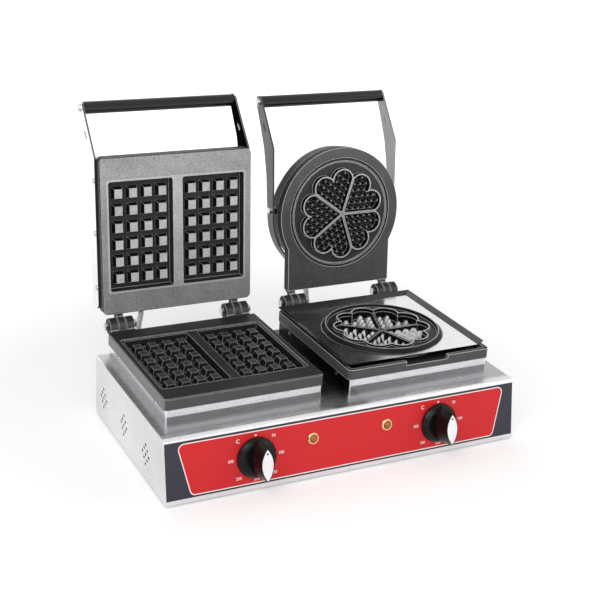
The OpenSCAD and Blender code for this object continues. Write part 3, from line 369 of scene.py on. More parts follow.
def sheet_gloss(name, colour, roughness):
    """Bright rolled steel with faint clouds and hairline scratches."""
    mat = finish(name, colour, roughness, metallic=1.0)
    cloud = noise(mat, 22, detail=5)
    scratch = noise(mat, 900, stretch=(0.05, 1, 1), detail=1)
    feed(mat, "Roughness", spread(mat, cloud, roughness * 0.75, roughness * 1.4))
    feed(mat, "Base Color", blend_colours(mat, cloud, scaled(colour, 0.94), scaled(colour, 1.04)))
    bump(mat, scratch, 0.05, 0.05 * MM)
    return mat


def dotted(mat, socket, other):
    """Dot product of a vector socket with a vector or with another socket."""
    node = add(mat, "ShaderNodeVectorMath", operation="DOT_PRODUCT")
    link(mat, socket, node.inputs[0])
    if isinstance(other, Vector):
        node.inputs[1].default_value = other
    else:
        link(mat, other, node.inputs[1])
    return node.outputs["Value"]


def both(mat, *masks):
    """Product of masks."""
    result = masks[0]
    for mask in masks[1:]:
        times = add(mat, "ShaderNodeMath", operation="MULTIPLY")
        link(mat, result, times.inputs[0])
        link(mat, mask, times.inputs[1])
        result = times.outputs["Value"]
    return result


def facing(mat, node_name, direction, start=0.90, end=0.97):
    """1 where the piece's surface faces a direction given at rest, else 0."""
    local = NODES[node_name].matrix_world.to_3x3().inverted() @ Vector(direction)
    where = add(mat, "ShaderNodeTexCoord")
    turn = dotted(mat, where.outputs["Normal"], local.normalized())
    return spread(mat, turn, 0.0, 1.0, start, end)


def along(mat, node_name, direction, start, end, origin=(0, 0, 0)):
    """0..1 as a point moves from start to end metres along a direction at rest from an origin."""
    world = NODES[node_name].matrix_world
    way = Vector(direction).normalized()
    shift = way.dot(world.translation - Vector(origin))
    where = add(mat, "ShaderNodeTexCoord")
    reach = dotted(mat, where.outputs["Object"], world.to_3x3().transposed() @ way)
    return spread(mat, reach, 0.0, 1.0, start - shift, end - shift)


def within(mat, node_name, blur, edges):
    """1 past all edges, each given at rest as (direction, distance), with a soft border."""
    return both(mat, *(along(mat, node_name, way, start, start + blur) for way, start in edges))


def edge_mask(mat, radius):
    """1 near sharp edges, from how far a rounded normal leans away from the plain one."""
    rounded = add(mat, "ShaderNodeBevel", samples=6)
    rounded.inputs["Radius"].default_value = radius
    plain = add(mat, "ShaderNodeNewGeometry")
    away = add(mat, "ShaderNodeMath", operation="SUBTRACT")
    away.inputs[0].default_value = 1.0
    link(mat, dotted(mat, rounded.outputs["Normal"], plain.outputs["Normal"]), away.inputs[1])
    return spread(mat, away.outputs["Value"], 0.0, 1.0, *EDGE_LEAN)


def mixed(mat, factor, a, b):
    """Mix of two colours; each is a tuple or a socket."""
    mix = add(mat, "ShaderNodeMix", data_type="RGBA")
    link(mat, factor, mix.inputs["Factor"])
    for source, socket in ((a, mix.inputs["A"]), (b, mix.inputs["B"])):
        if isinstance(source, tuple):
            socket.default_value = (*source, 1)
        else:
            link(mat, source, socket)
    return mix.outputs["Result"]


def tone(mat, *layers):
    """Lays colours over the material's own, each where its mask is 1."""
    for mask, colour in layers:
        under = shader(mat).inputs["Base Color"].links[0].from_socket
        feed(mat, "Base Color", mixed(mat, mask, under, colour))


def dimmed(mat, colour, factor):
    """A colour socket times a number."""
    node = add(mat, "ShaderNodeVectorMath", operation="SCALE")
    node.inputs["Scale"].default_value = factor
    link(mat, colour, node.inputs[0])
    return node.outputs["Vector"]


def dull(mat, *masks):
    """Takes the metal's mirror off where a mask is 1."""
    feed(mat, "Metallic", both(mat, *(unless(mat, mask) for mask in masks)))
    shader(mat).inputs["Specular IOR Level"].default_value = 0.0


def crest(node_name, direction):
    """The point on a line from the origin that is level with the piece's farthest point at rest."""
    node = NODES[node_name]
    way = Vector(direction).normalized()
    return way * max(way.dot(node.matrix_world @ v.co) for v in node.data.vertices)


def cast_surface(mat, grit, face, speckle):
    """Speckled and clouded colour of a sand-cast face."""
    fine = blend_colours(mat, grit, scaled(face, 1 - speckle), scaled(face, 1 + speckle), 0.38, 0.62)
    cloud = blend_colours(mat, noise(mat, 26, detail=5), (0.80, 0.80, 0.80), (1.0, 1.0, 1.0))
    spots = add(mat, "ShaderNodeMix", data_type="RGBA", blend_type="MULTIPLY")
    spots.inputs["Factor"].default_value = 1.0
    link(mat, fine, spots.inputs["A"])
    link(mat, cloud, spots.inputs["B"])
    return spots.outputs["Result"]


def sand_cast(name, node_name, direction, face, flank, edge, grain=0.45, speckle=0.45, highlight_radius=1.2 * MM,
              levels=(), shade=None, turn=(0.90, 0.97), side=None, inner=None):
    """Sand-cast plate with speckled faces, flanks mostly darkened as painted shade and sharp edges
    with a painted highlight.

    The faces are what faces the direction, by the two limits in turn. levels holds pairs of a depth
    below the piece's crest and a factor for the colour from there down, as painted shade in the
    recesses. shade is a direction, start, end and factor of painted shade: the colour before the start
    is dimmed. side is a direction and the colour of the flanks that face it, painted as lit. inner is
    x0, x1, y0, y1 and the colour of the flanks inside that rectangle, painted as shade in the cavity.
    """
    roughness = 0.42
    mat = finish(name, face, roughness, Specular_IOR_Level=0.14)
    grit = noise(mat, 1000, detail=4, rough=0.7)
    surface = cast_surface(mat, grit, face, speckle)
    # Painted shade towards one end of the face.
    if shade:
        surface = mixed(mat, along(mat, node_name, *shade[:3]), dimmed(mat, surface, shade[3]), surface)
    top = crest(node_name, direction)
    # Painted shade, darker the deeper below the crest.
    for depth, factor in levels:
        above = along(mat, node_name, direction, -depth - LEVEL_BLUR, -depth + LEVEL_BLUR, top)
        surface = mixed(mat, above, dimmed(mat, surface, factor), surface)
    # Flanks facing the side are painted lighter, as lit.
    if side:
        flank = mixed(mat, facing(mat, node_name, side[0], 0.6, 0.9), flank, side[1])
    # Painted shade on the flanks inside the cavity.
    if inner:
        x0, x1, y0, y1, cavity_wall_shade = inner
        edges = ((RIGHT, x0), (LEFT, -x1), (BACK, y0), (FRONT, -y1))
        flank = mixed(mat, within(mat, node_name, CAVITY_BLUR, edges), flank, cavity_wall_shade)
    lit = mixed(mat, facing(mat, node_name, direction, *turn), flank, surface)
    # Painted highlight along sharp edges.
    feed(mat, "Base Color", mixed(mat, edge_mask(mat, highlight_radius), lit, edge))
    feed(mat, "Roughness", spread(mat, grit, roughness - 0.12, roughness + 0.16))
    coarse = bump(mat, noise(mat, 260, detail=3), grain * 0.6, 0.5 * MM)
    bump(mat, grit, grain, 0.4 * MM, under=coarse)
    return mat


def moulded(name, colour, roughness, grain=0.08, **sockets):
    """Moulded plastic with a fine spark-eroded grain."""
    mat = finish(name, colour, roughness, **sockets)
    smear = noise(mat, 35, detail=4)
    feed(mat, "Roughness", spread(mat, smear, roughness * 0.93, roughness * 1.1))
    bump(mat, noise(mat, 2600, detail=2), grain, 0.08 * MM)
    return mat


def braided(name, colour):
    """A hose of crossed wires: two families of slanted bands."""
    mat = finish(name, colour, 0.45, metallic=0.6)
    where = add(mat, "ShaderNodeTexCoord")
    height = None
    for turn in (math.radians(38), math.radians(-38)):
        tilt = add(mat, "ShaderNodeMapping")
        tilt.inputs["Rotation"].default_value = (turn, turn, 0)
        band = add(mat, "ShaderNodeTexWave", wave_type="BANDS", bands_direction="DIAGONAL")
        band.inputs["Scale"].default_value = 260
        link(mat, where.outputs["Object"], tilt.inputs["Vector"])
        link(mat, tilt.outputs["Vector"], band.inputs["Vector"])
        height = bump(mat, band.outputs["Fac"], 0.5, 0.4 * MM, under=height)
    cloud = noise(mat, 300, detail=2)
    feed(mat, "Base Color", blend_colours(mat, cloud, scaled(colour, 0.7), scaled(colour, 1.15)))
    return mat


def seen_plainly(owner):
    """1 for what the camera or a mirror sees, 0 for what only lights the scene."""
    path = add(owner, "ShaderNodeLightPath")
    either = add(owner, "ShaderNodeMath", operation="MAXIMUM")
    link(owner, path.outputs["Is Camera Ray"], either.inputs[0])
    link(owner, path.outputs["Is Glossy Ray"], either.inputs[1])
    return either.outputs["Value"]


def dress(names, mat):
    """Gives CAD nodes a finish."""
    for name in names:
        slots = NODES[name].data.materials
        if not slots:
            slots.append(mat)
        for i in range(len(slots)):
            slots[i] = mat


def soften(names, width):
    """Rounds the sharp edges of CAD nodes with a small bevel."""
    for name in names:
        mod = NODES[name].modifiers.new("edge", "BEVEL")
        mod.width = width
        mod.segments = 2
        mod.limit_method = "ANGLE"
        mod.angle_limit = BEVEL_ANGLE


# ---- pieces ----------------------------------------------


def panel_matrix(x, rise, out):
    """A frame on the control panel: X right, Y up the panel, Z out of it."""
    prints = bpy.context.scene.baker_prints
    lean = prints.panel_lean
    up = Vector((0, math.sin(lean), math.cos(lean)))
    away = Vector((0, -math.cos(lean), math.sin(lean)))
    foot = Vector((x, -prints.panel_front, prints.panel_foot))
    turn = Matrix((Vector(RIGHT), up, away)).transposed().to_4x4()
    return Matrix.Translation(foot + up * rise + away * out) @ turn


def keep(obj, mat, body):
    """Puts a made piece on its body with its finish."""
    bpy.context.scene.collection.objects.link(obj)
    obj.data.materials.append(mat)
    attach(obj, body)


def mesh_object(name, verts, faces):
    """An object out of points and faces, not yet in the scene."""
    mesh = bpy.data.meshes.new(name)
    mesh.from_pydata(verts, [], faces)
    mesh.validate()
    return bpy.data.objects.new(name, mesh)


def from_bmesh(name, bm):
    """An object out of a bmesh, which it frees; not yet in the scene."""
    mesh = bpy.data.meshes.new(name)
    bm.to_mesh(mesh)
    bm.free()
    return bpy.data.objects.new(name, mesh)


def join_meshes(name, objects):
    """One object out of several made ones."""
    bm = bmesh.new()
    for obj in objects:
        part = obj.data.copy()
        part.transform(obj.matrix_world)
        bm.from_mesh(part)
        bpy.data.meshes.remove(part)
        bpy.data.objects.remove(obj)
    return from_bmesh(name, bm)


def written(text, height, matrix):
    """Raised print of a short text, centred on the matrix."""
    curve = bpy.data.curves.new("print", "FONT")
    curve.body = text
    curve.size = height * FONT_SIZE
    curve.align_x = "CENTER"
    curve.align_y = "CENTER"
    curve.extrude = INK / 2
    curve.offset = height * FONT_WEIGHT
    maker = bpy.data.objects.new("print", curve)
    bpy.context.scene.collection.objects.link(maker)
    bpy.context.view_layer.update()
    mesh = bpy.data.meshes.new_from_object(maker.evaluated_get(bpy.context.evaluated_depsgraph_get()))
    bpy.data.objects.remove(maker)
    mesh.transform(matrix)
    return bpy.data.objects.new("print", mesh)


def dot(radius, matrix):
    """Raised round dot, centred on the matrix."""
    bm = bmesh.new()
    bmesh.ops.create_cone(bm, cap_ends=True, segments=24, radius1=radius, radius2=radius, depth=INK)
    bm.transform(matrix)
    return from_bmesh("dot", bm)


def strip(outline, width, matrix):
    """A flat band of a given width along a closed outline, on its inner side."""
    n = len(outline)
    inner = []
    for i, p in enumerate(outline):
        before, after = outline[i - 1], outline[(i + 1) % n]
        run = (Vector(after) - Vector(before)).normalized()
        inner.append((p[0] - run.y * width, p[1] + run.x * width))
    verts = [(*p, z) for z in (-INK / 2, INK / 2) for ring in (outline, inner) for p in ring]
    faces = []
    for i in range(n):
        j = (i + 1) % n
        faces.append((2 * n + i, 2 * n + j, 3 * n + j, 3 * n + i))
        faces.append((j, 2 * n + j, 2 * n + i, i))
        faces.append((n + i, 3 * n + i, 3 * n + j, n + j))
    obj = mesh_object("strip", verts, faces)
    obj.data.transform(matrix)
    return obj


def rounded_corner(corner, before, after, radius):
    """Points of the arc that rounds a corner between its neighbours, anticlockwise."""
    corner = Vector(corner)
    a = (Vector(before) - corner).normalized()
    b = (Vector(after) - corner).normalized()
    half = a.angle(b) / 2
    centre = corner + (a + b).normalized() * radius / math.sin(half)
    start = (corner + a * radius / math.tan(half)) - centre
    end = (corner + b * radius / math.tan(half)) - centre
    a0, a1 = math.atan2(start.y, start.x), math.atan2(end.y, end.x)
    if a1 < a0:
        a1 += 2 * math.pi
    turns = [a0 + (a1 - a0) * k / ARC_STEPS for k in range(ARC_STEPS + 1)]
    return [(centre.x + radius * math.cos(t), centre.y + radius * math.sin(t)) for t in turns]


def film_corner(tip, arc):
    """A patch of film between the sharp corner of the red field and the arc of its outline."""
    tip = Vector(tip)
    tip += (tip - Vector(arc[len(arc) // 2])).normalized() * 0.4 * MM
    ring = [tuple(tip)] + arc
    n = len(ring)
    verts = [(*point, z) for z in (-FILM / 2, FILM / 2) for point in ring]
    faces = [(0, k + 1, k) for k in range(1, n - 1)]
    faces += [(n, n + k, n + k + 1) for k in range(1, n - 1)]
    faces += [(k, (k + 1) % n, n + (k + 1) % n, n + k) for k in range(n)]
    patch = mesh_object("corner", verts, faces)
    patch.data.transform(panel_matrix(0, 0, PRINT_LIFT))
    return patch


# ---- operators -------------------------------------------


class BAKER_OT_housing(bpy.types.Operator):
    """Brushed steel housing with its side panels, bottom and feet"""

    bl_idname = "baker.housing"
    bl_label = "Housing"

    def execute(self, context):
        looks = context.scene.baker_finishes
        self.shell(looks)
        for name in ("left_skirt", "right_skirt"):
            self.skirt(looks, name)
        screen = moulded("vent_shadow", looks.shadow, 0.9, Specular_IOR_Level=0.0)
        for name, out in (("left_side_panel", LEFT), ("right_side_panel", RIGHT)):
            self.side_panel(looks, name, out)
            # A dark sheet of painted shade goes behind each panel's holes.
            keep(self.vent_screen(name, out), screen, "base")
        dress(("bottom_cover", "left_thermostat", "right_thermostat"),
              brushed_steel("galvanised_sheet", scaled(looks.steel, 0.8), 0.45))
        dress(("rubber_feet",), moulded("foot_rubber", looks.rubber, 0.8, grain=0.2))
        dress(("terminal_block",), moulded("terminal_white", looks.terminal, 0.4))
        dress(("mains_gland",), moulded("nylon_black", scaled(looks.plastic, 1.5), 0.4))
        return {"FINISHED"}

    def shell(self, looks):
        """Folded sheet whose level top has a painted dark reflection of the units and painted shade,
        darkest in the gap between them.
        """
        name = "housing_shell"
        mat = brushed_steel("stainless_brushed", looks.steel, looks.steel_roughness)
        level = facing(mat, name, UP)
        top = both(mat, level, along(mat, name, BACK, *TOP_SHADE))
        gap = both(mat, level, within(mat, name, GAP_BLUR, GAP_EDGES))
        deep_gap_shade = both(mat, gap, along(mat, name, BACK, *GAP_SHADE))
        # Painted light: a dark reflection on the top behind its edge, and painted shade in the gap between
        # the units.
        tone(mat, (top, scaled(looks.steel, 0.56)), (gap, scaled(looks.steel, 0.5)),
             (deep_gap_shade, scaled(looks.steel, 0.10)))
        dress((name,), mat)

    def skirt(self, looks, name):
        """Sheet with a band of painted shade below its fold; the gap's side of the right skirt is painted
        black as shade.
        """
        mat = brushed_steel(name + "_brushed", scaled(looks.steel, 1.18), looks.steel_roughness)
        front = facing(mat, name, FRONT)
        upper = along(mat, name, UP, *SKIRT_FOLD)
        lower = unless(mat, upper)
        # Painted shade on the lower band's front and left faces.
        tone(mat, (both(mat, lower, front), scaled(looks.steel, 0.45)),
             (both(mat, lower, facing(mat, name, LEFT)), scaled(looks.steel, 0.9)))
        feed(mat, "Metallic", spread(mat, both(mat, upper, front), 1.0, 0.45, 0, 1))
        if name == "right_skirt":
            # Painted shadow of the gap on the right skirt's left face.
            tone(mat, (facing(mat, name, LEFT), (0.02, 0.02, 0.022)))
        dress((name,), mat)

    def side_panel(self, looks, name, out):
        """Steel sheet whose cooling holes have walls painted black as shade."""
        mat = brushed_steel(name + "_brushed", looks.steel, looks.steel_roughness, grain=(1, 0.02, 1))
        walls = both(mat, unless(mat, facing(mat, name, out, 0.5, 0.9)),
                     within(mat, name, VENT_BLUR, VENT_EDGES))
        # Painted shade: the hole walls are black and lose the metal's mirror.
        tone(mat, (walls, tuple(looks.shadow)))
        dull(mat, walls)
        dress((name,), mat)

    def vent_screen(self, panel, out):
        """Dark folded sheet behind the cooling holes of a side panel, standing in for the shade inside
        them.
        """
        low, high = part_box(panel)
        inward = -out[0]
        lip, thick = inward * 4 * MM, 0.6 * MM
        x = (high if inward > 0 else low)[0] + inward * 3 * MM
        y0, y1 = low[1] + 25 * MM, high[1] - 25 * MM
        z0, z1 = low[2] + 12 * MM, high[2] - 22 * MM
        profile = [(x + lip, z0), (x, z0), (x, z1), (x + lip, z1), (x + lip, z1 - thick),
                   (x + inward * thick, z1 - thick), (x + inward * thick, z0 + thick),
                   (x + lip, z0 + thick)]
        n = len(profile)
        verts = [(px, y, pz) for y in (y0, y1) for px, pz in profile]
        faces = [(i, (i + 1) % n, n + (i + 1) % n, n + i) for i in range(n)]
        faces += [(0, 1, 6, 7), (1, 2, 5, 6), (2, 3, 4, 5)]
        faces += [(n + 7, n + 6, n + 1, n), (n + 6, n + 5, n + 2, n + 1), (n + 5, n + 4, n + 3, n + 2)]
        return mesh_object(panel + "_screen", verts, faces)


class BAKER_OT_control_panel(bpy.types.Operator):
    """Grey film and red panel with a white outline"""

    bl_idname = "baker.control_panel"
    bl_label = "Control panel"

    def execute(self, context):
        looks = context.scene.baker_finishes
        film = moulded("film_grey", looks.film, 0.34, grain=0.03, Specular_IOR_Level=0.3)
        red = moulded("fascia_red", looks.fascia, 0.34, grain=0.02, Specular_IOR_Level=0.25)
        white = moulded("print_white", looks.print_white, 0.45, grain=0.03)
        dress(("control_label",), film)
        dress(("red_fascia",), red)

        half_foot, half_top, low, high = RED_FIELD
        corners = [(-half_foot, low), (half_foot, low), (half_top, high), (-half_top, high)]
        arcs = [rounded_corner(corner, corners[i - 1], corners[(i + 1) % 4], FIELD_RADIUS)
                for i, corner in enumerate(corners)]
        width = context.scene.baker_prints.line_width
        line = strip([point for arc in arcs for point in arc], width, panel_matrix(0, 0, LINE_LIFT))
        line.name = "panel_outline"
        keep(line, white, "base")
        patches = [film_corner(corner, arc) for corner, arc in zip(corners, arcs)]
        keep(join_meshes("film_corners", patches), film, "base")
        return {"FINISHED"}


class BAKER_OT_dials(bpy.types.Operator):
    """Printed dial numbers round both knobs"""

    bl_idname = "baker.dials"
    bl_label = "Dials"

    marks = ("", "50", "100", "150", "200", "250", "300", "C")  # clockwise from the top; "" is a dot

    def execute(self, context):
        prints = context.scene.baker_prints
        ink = finish("dial_ink", context.scene.baker_finishes.print_white, 0.45)
        for side, label in ((-1, "left"), (1, "right")):
            made = [self.mark(prints, side * prints.knob_dx, step) for step in range(len(self.marks))]
            keep(join_meshes(label + "_dial", made), ink, "base")
        return {"FINISHED"}

    def mark(self, prints, middle, step):
        """One mark of the dial whose knob stands at a distance from the middle."""
        text = self.marks[step]
        turn = math.tau * step / len(self.marks)
        upright = step in (0, len(self.marks) // 2)
        reach = prints.near_radius if upright else prints.dial_radius
        spot = panel_matrix(middle + reach * math.sin(turn), prints.knob_rise + reach * math.cos(turn),
                            PRINT_LIFT)
        if not text:
            return dot(prints.dot_radius, spot)
        return written(text, prints.number_height * (prints.unit_scale if text == "C" else 1.0), spot)


class BAKER_OT_lamps(bpy.types.Operator):
    """Brass bezels with amber lenses"""

    bl_idname = "baker.lamps"
    bl_label = "Signal lamps"

    def execute(self, context):
        looks = context.scene.baker_finishes
        brass = finish("brass_bezel", looks.brass, 0.24, metallic=1.0)
        bump(brass, noise(brass, 1500, detail=1), 0.05, 0.04 * MM)
        lens = finish("amber_lens", looks.amber_light, 0.12, Transmission_Weight=0.35, IOR=1.49)
        glow = noise(lens, 500, detail=1)
        feed(lens, "Base Color", blend_colours(lens, glow, looks.amber_dark, looks.amber_light))
        dress(("lamp_bezels",), brass)
        dress(("lamp_lenses",), lens)
        return {"FINISHED"}


class BAKER_OT_knobs(bpy.types.Operator):
    """Black knobs with bright inserts"""

    bl_idname = "baker.knobs"
    bl_label = "Knobs"

    def execute(self, context):
        looks = context.scene.baker_finishes
        knobs = ("left_knob", "right_knob")
        dress(knobs, moulded("knob_black", looks.plastic, 0.25, grain=0.02, Specular_IOR_Level=0.2))
        dress(("left_knob_insert", "right_knob_insert"),
              sheet_gloss("insert_silver", looks.knob_insert, 0.22))
        soften(knobs, 0.5 * MM)
        return {"FINISHED"}


class BAKER_OT_cast_plates(bpy.types.Operator):
    """Cast cooking plates and their hinges"""

    bl_idname = "baker.cast_plates"
    bl_label = "Cast plates"

    def execute(self, context):
        looks = context.scene.baker_finishes
        bare, dark, flank_shade = (tuple(c) for c in (looks.bare_cast, looks.dark_cast, looks.flank_shade))
        # name, the way its faces look, colours of faces, of flanks (mostly painted shade) and of edges (a
        # painted highlight), and the rest
        castings = (
            ("left_upper_plate", LID_OUT, scaled(bare, 2.0), scaled(flank_shade, 4), (0.62, 0.62, 0.62),
             dict(levels=((0.7 * MM, 0.72), (4 * MM, 0.10)), highlight_radius=1.8 * MM,
                  shade=(UP, 0.14, 0.36, 0.62))),
            ("left_upper_pegs", LID_OUT, scaled(bare, 1.9), flank_shade, (0.55, 0.55, 0.55), {}),
            # The left lower plate's left-facing flanks are painted lighter, as lit.
            ("left_lower_plate", UP, scaled(dark, 0.5), scaled(dark, 1.9), (0.55, 0.55, 0.56),
             dict(levels=((4 * MM, 0.5),), side=(LEFT, (0.24, 0.24, 0.245)), highlight_radius=1.4 * MM,
                  inner=(-0.258, -0.024, -0.112, 0.071, scaled(flank_shade, 2)))),
            ("left_lower_pegs", UP, scaled(dark, 0.8), scaled(flank_shade, 1.5), (0.5, 0.5, 0.51), {}),
            ("right_lower_plate", UP, (0.42, 0.42, 0.42), scaled(dark, 1.9), (0.85, 0.85, 0.86),
             dict(levels=((2.5 * MM, 0.06), (8.5 * MM, 0.2)), highlight_radius=1.5 * MM,
                  inner=(0.046, 0.236, -0.117, 0.075, flank_shade))),
            # Peg faces turned left, front and up are painted near white as a highlight.
            ("right_lower_pegs", (-0.7, -0.6, 0.35), (0.95, 0.95, 0.95), flank_shade, (0.3, 0.3, 0.3),
             dict(turn=(0.45, 0.65), speckle=0.1)),
            ("right_upper_plate", LID_OUT, (0.42, 0.42, 0.42), flank_shade, (0.8, 0.8, 0.8),
             dict(levels=((3.5 * MM, 0.28), (7.8 * MM, 0.5), (10.5 * MM, 0.1)), speckle=0.6,
                  highlight_radius=1.6 * MM, shade=(UP, 0.24, 0.37, 0.6))),
            ("right_upper_pegs", LID_OUT, scaled(dark, 3.0), flank_shade, (0.5, 0.5, 0.5), {}),
        )
        for name, way, face, flank, edge, extra in castings:
            dress((name,), sand_cast(name + "_cast", name, way, face, flank, edge, **extra))
        # Hinges: flanks with painted shade, edges with a painted highlight.
        for name in HINGE_NODES:
            way = LID_OUT if "upper" in name else FRONT
            dress((name,), sand_cast(name + "_cast", name, way, scaled(dark, 1.8), scaled(dark, 0.5),
                                     (0.6, 0.6, 0.6), grain=0.3, highlight_radius=1.6 * MM, turn=(0.7, 0.95)))
        soften(HINGE_NODES, 0.5 * MM)
        return {"FINISHED"}


class BAKER_OT_drip_tray(bpy.types.Operator):
    """Bright folded tray round the heart plate, with painted dark reflections"""

    bl_idname = "baker.drip_tray"
    bl_label = "Drip tray"

    def execute(self, context):
        looks = context.scene.baker_finishes
        name = "drip_tray"
        mat = sheet_gloss("tray_bright", scaled(looks.steel, 1.12), 0.2)
        dark_end_reflection = unless(mat, along(mat, name, RIGHT, *TRAY_SHADE))
        dark_slope_reflection = unless(mat, facing(mat, name, UP, 0.95, 0.99))
        # Painted dark reflections on the tray's left end and on its slopes.
        tone(mat, (dark_end_reflection, scaled(looks.steel, 0.5)), (dark_slope_reflection, (0.055, 0.055, 0.058)))
        dress((name,), mat)
        return {"FINISHED"}


class BAKER_OT_lids(bpy.types.Operator):
    """Casings, arms, yoke, drum and grips of both lids"""

    bl_idname = "baker.lids"
    bl_label = "Lids"

    def execute(self, context):
        looks = context.scene.baker_finishes
        dress(("left_lid_casing", "right_lid_cover"),
              brushed_steel("casing_steel", scaled(looks.steel, 0.92), 0.3))
        self.arms(looks)
        self.yoke(looks)
        dress(("right_lid_drum",), moulded("drum_black", scaled(looks.plastic, 1.6), 0.3, grain=0.12,
                                           Specular_IOR_Level=0.16))
        grips = ("left_grip", "right_grip")
        dress(grips, moulded("grip_black", scaled(looks.plastic, 1.3), 0.16, grain=0.02,
                             Specular_IOR_Level=0.4))
        dress(("left_lid_insulation", "right_lid_insulation"),
              moulded("mineral_wool", looks.wool, 0.95, grain=1.0))
        soften(grips, 1.2 * MM)
        soften(("left_lid_arms", "right_yoke"), 0.35 * MM)
        return {"FINISHED"}

    def arms(self, looks):
        """Bright sheet; the right arm's inner face and both front rims carry a painted dark reflection."""
        name = "left_lid_arms"
        mat = sheet_gloss("arm_steel", scaled(looks.steel, 1.1), 0.22)
        inside = both(mat, facing(mat, name, LEFT), along(mat, name, RIGHT, *RIGHT_ARM))
        rims = facing(mat, name, FRONT, 0.5, 0.8)
        # Painted dark reflections, with the metal's mirror taken off there.
        tone(mat, (inside, tuple(looks.shadow)), (rims, (0.03, 0.03, 0.03)))
        dull(mat, inside, rims)
        dress((name,), mat)

    def yoke(self, looks):
        """Darker sheet; its left arm carries a painted dark reflection of the lid beside it."""
        name = "right_yoke"
        mat = sheet_gloss("yoke_steel", scaled(looks.steel, 0.30), 0.28)
        near = along(mat, name, LEFT, *NEAR_YOKE)
        # Painted dark reflection of the lid on the yoke's left arm.
        tone(mat, (near, (0.08, 0.08, 0.082)))
        dull(mat, both(mat, near, facing(mat, name, FRONT, 0.4, 0.8)))
        dress((name,), mat)


class BAKER_OT_fasteners(bpy.types.Operator):
    """Bolts, screws, shafts, glands and heaters"""

    bl_idname = "baker.fasteners"
    bl_label = "Fasteners"

    def execute(self, context):
        looks = context.scene.baker_finishes
        zinc = finish("zinc_bright", looks.zinc, 0.26, metallic=1.0)
        feed(zinc, "Roughness", spread(zinc, noise(zinc, 400, detail=3), 0.2, 0.36))
        dress(FASTENER_NODES, zinc)
        soften(ROUNDED_FASTENERS, 0.3 * MM)
        dress(("conduit_glands", "left_lid_gland", "right_lid_gland"),
              sheet_gloss("gland_nickel", looks.nickel, 0.25))
        heat = finish("heater_sheath", looks.heater_light, 0.5, metallic=0.8)
        stain = noise(heat, 60, detail=3)
        feed(heat, "Base Color", blend_colours(heat, stain, looks.heater_dark, looks.heater_light))
        dress(HEATER_NODES, heat)
        return {"FINISHED"}


class BAKER_OT_hoses(bpy.types.Operator):
    """Braided heater hoses from the housing to the lids"""

    bl_idname = "baker.hoses"
    bl_label = "Heater hoses"

    def execute(self, context):
        sleeve = braided("hose_braid", context.scene.baker_finishes.braid)
        dress(("left_conduit", "right_conduit"), sleeve)
        for side in ("left", "right"):
            self.hose(side + "_hose", side + "_conduit", side + "_lid", sleeve)
        return {"FINISHED"}

    def hose(self, name, node, lid, sleeve):
        """A finer copy of a conduit, running from its gland on the housing to the one on its lid."""
        bm = bmesh.new()
        bm.from_mesh(NODES[node].data)
        bm.transform(NODES[node].matrix_world)
        bmesh.ops.remove_doubles(bm, verts=bm.verts, dist=0.01 * MM)
        bmesh.ops.subdivide_edges(bm, edges=bm.edges, cuts=2, use_grid_fill=True)
        for face in bm.faces:
            face.smooth = True
        obj = from_bmesh(name, bm)
        bpy.context.scene.collection.objects.link(obj)
        obj.data.materials.append(sleeve)
        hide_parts(node)
        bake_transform(obj)


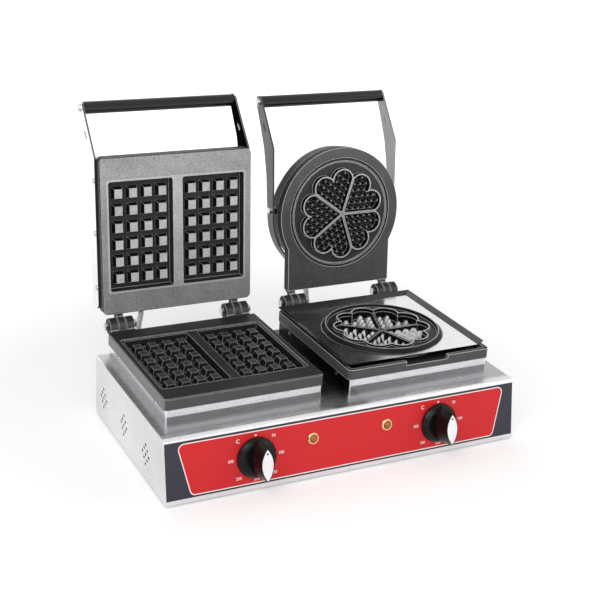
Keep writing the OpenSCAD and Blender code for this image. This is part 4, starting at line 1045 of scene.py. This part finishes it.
class BAKER_OT_studio(bpy.types.Operator):
    """Pale floor, soft lights, bright room and the camera"""

    bl_idname = "baker.studio"
    bl_label = "Studio"

    def execute(self, context):
        scene = context.scene
        studio = scene.baker_studio
        scene.view_settings.view_transform = "Standard"
        self.floor(studio.floor_size)
        self.room(studio.room_level)
        self.lamp("key_light", (-1.3, -1.5, 1.9), (0, 0.05, 0.15), 1.6, studio.key_power)
        self.lamp("strip_light", (0.62, -1.90, 0.34), (0, 0.15, 0.42), 1.3, studio.strip_power, 0.04)
        self.lamp("fill_light", (1.9, -1.1, 1.2), (0, 0.05, 0.15), 1.4, studio.fill_power)
        self.lamp("back_light", (0.3, 1.9, 1.6), (0, 0.1, 0.2), 1.2,
                  studio.fill_power * studio.back_share)
        self.camera(studio)
        return {"FINISHED"}

    def floor(self, size):
        """A flat sheet under the feet that takes the object's shadow."""
        corners = [(-size, -size, 0), (size, -size, 0), (size, size, 0), (-size, size, 0)]
        floor = mesh_object("studio_floor", corners, [(0, 1, 2, 3)])
        bpy.context.scene.collection.objects.link(floor)
        floor.data.materials.append(self.floor_paint())

    def floor_paint(self):
        """Matt white that glows for the camera and for mirrors, more the farther from the object."""
        paint = finish("floor_pale", (0.86, 0.86, 0.86), 0.75, Specular_IOR_Level=0.1)
        feed(paint, "Roughness", spread(paint, noise(paint, 40, detail=3), 0.7, 0.85))
        where = add(paint, "ShaderNodeTexCoord")
        reach = add(paint, "ShaderNodeVectorMath", operation="LENGTH")
        link(paint, where.outputs["Object"], reach.inputs[0])
        glow = spread(paint, reach.outputs["Value"], *FLOOR_GLOW)
        feed(paint, "Emission Strength", both(paint, seen_plainly(paint), glow))
        shader(paint).inputs["Emission Color"].default_value = (1, 1, 1, 1)
        return paint

    def room(self, dim):
        """White surroundings, dimmer as a light than as the background."""
        world = bpy.data.worlds.new("studio_room")
        bpy.context.scene.world = world
        world.use_nodes = True
        background = world.node_tree.nodes["Background"]
        background.inputs["Color"].default_value = (1, 1, 1, 1)
        level = add(world, "ShaderNodeMix")
        level.inputs["A"].default_value = dim
        level.inputs["B"].default_value = 1.0
        link(world, seen_plainly(world), level.inputs["Factor"])
        link(world, level.outputs["Result"], background.inputs["Strength"])

    def lamp(self, name, place, target, size, power, height=None):
        """A rectangular lamp that looks at a target; without a height it is square."""
        data = bpy.data.lights.new(name, "AREA")
        data.shape = "RECTANGLE"
        data.size = size
        data.size_y = height or size
        data.energy = power
        lamp = bpy.data.objects.new(name, data)
        lamp.location = place
        lamp.rotation_euler = (Vector(target) - Vector(place)).to_track_quat("-Z", "Y").to_euler()
        bpy.context.scene.collection.objects.link(lamp)

    def camera(self, studio):
        """The scene's camera, by its place, lens and angles."""
        data = bpy.data.cameras.new("camera")
        data.lens = studio.camera_lens
        data.sensor_width = 36
        data.clip_start = 0.05
        data.clip_end = 50
        yaw, pitch, roll = studio.camera_yaw, studio.camera_pitch, studio.camera_roll
        ahead = Vector((math.sin(yaw) * math.cos(pitch), math.cos(yaw) * math.cos(pitch), -math.sin(pitch)))
        right = Vector((math.cos(yaw), -math.sin(yaw), 0))
        up = right.cross(ahead)
        tilted_right = math.cos(roll) * right + math.sin(roll) * up
        tilted_up = -math.sin(roll) * right + math.cos(roll) * up
        turn = Matrix((tilted_right, tilted_up, -ahead)).transposed().to_4x4()
        camera = bpy.data.objects.new("camera", data)
        bpy.context.scene.collection.objects.link(camera)
        camera.matrix_world = Matrix.Translation(Vector(studio.camera_place)) @ turn
        bpy.context.scene.camera = camera


# ---- panel and main --------------------------------------

PIECES = (
    BAKER_OT_housing, BAKER_OT_control_panel, BAKER_OT_dials, BAKER_OT_lamps, BAKER_OT_knobs,
    BAKER_OT_cast_plates, BAKER_OT_drip_tray, BAKER_OT_lids, BAKER_OT_fasteners, BAKER_OT_hoses,
    BAKER_OT_studio,
)
SETTINGS = {
    "baker_finishes": WaffleBakerFinishes,
    "baker_prints": WaffleBakerPrints,
    "baker_studio": WaffleBakerStudio,
}


class BAKER_PT_panel(bpy.types.Panel):
    """Buttons for every piece of the waffle baker"""

    bl_idname = "BAKER_PT_panel"
    bl_label = "Waffle Baker"
    bl_space_type = "VIEW_3D"
    bl_region_type = "UI"
    bl_category = "Waffle Baker"

    def draw(self, context):
        for piece in PIECES:
            self.layout.operator(piece.bl_idname)
        for name, group in SETTINGS.items():
            box = self.layout.box()
            for prop in group.__annotations__:
                box.prop(getattr(context.scene, name), prop)


def register():
    for cls in (*SETTINGS.values(), *PIECES, BAKER_PT_panel):
        bpy.utils.register_class(cls)
    for name, group in SETTINGS.items():
        setattr(bpy.types.Scene, name, bpy.props.PointerProperty(type=group))


def unregister():
    for name in SETTINGS:
        delattr(bpy.types.Scene, name)
    for cls in reversed((*SETTINGS.values(), *PIECES, BAKER_PT_panel)):
        bpy.utils.unregister_class(cls)


def main():
    """Runs every operator in order."""
    register()
    for piece in PIECES:
        group, name = piece.bl_idname.split(".")
        getattr(getattr(bpy.ops, group), name)()
    bpy.context.view_layer.update()


if __name__ == "__main__":
    main()
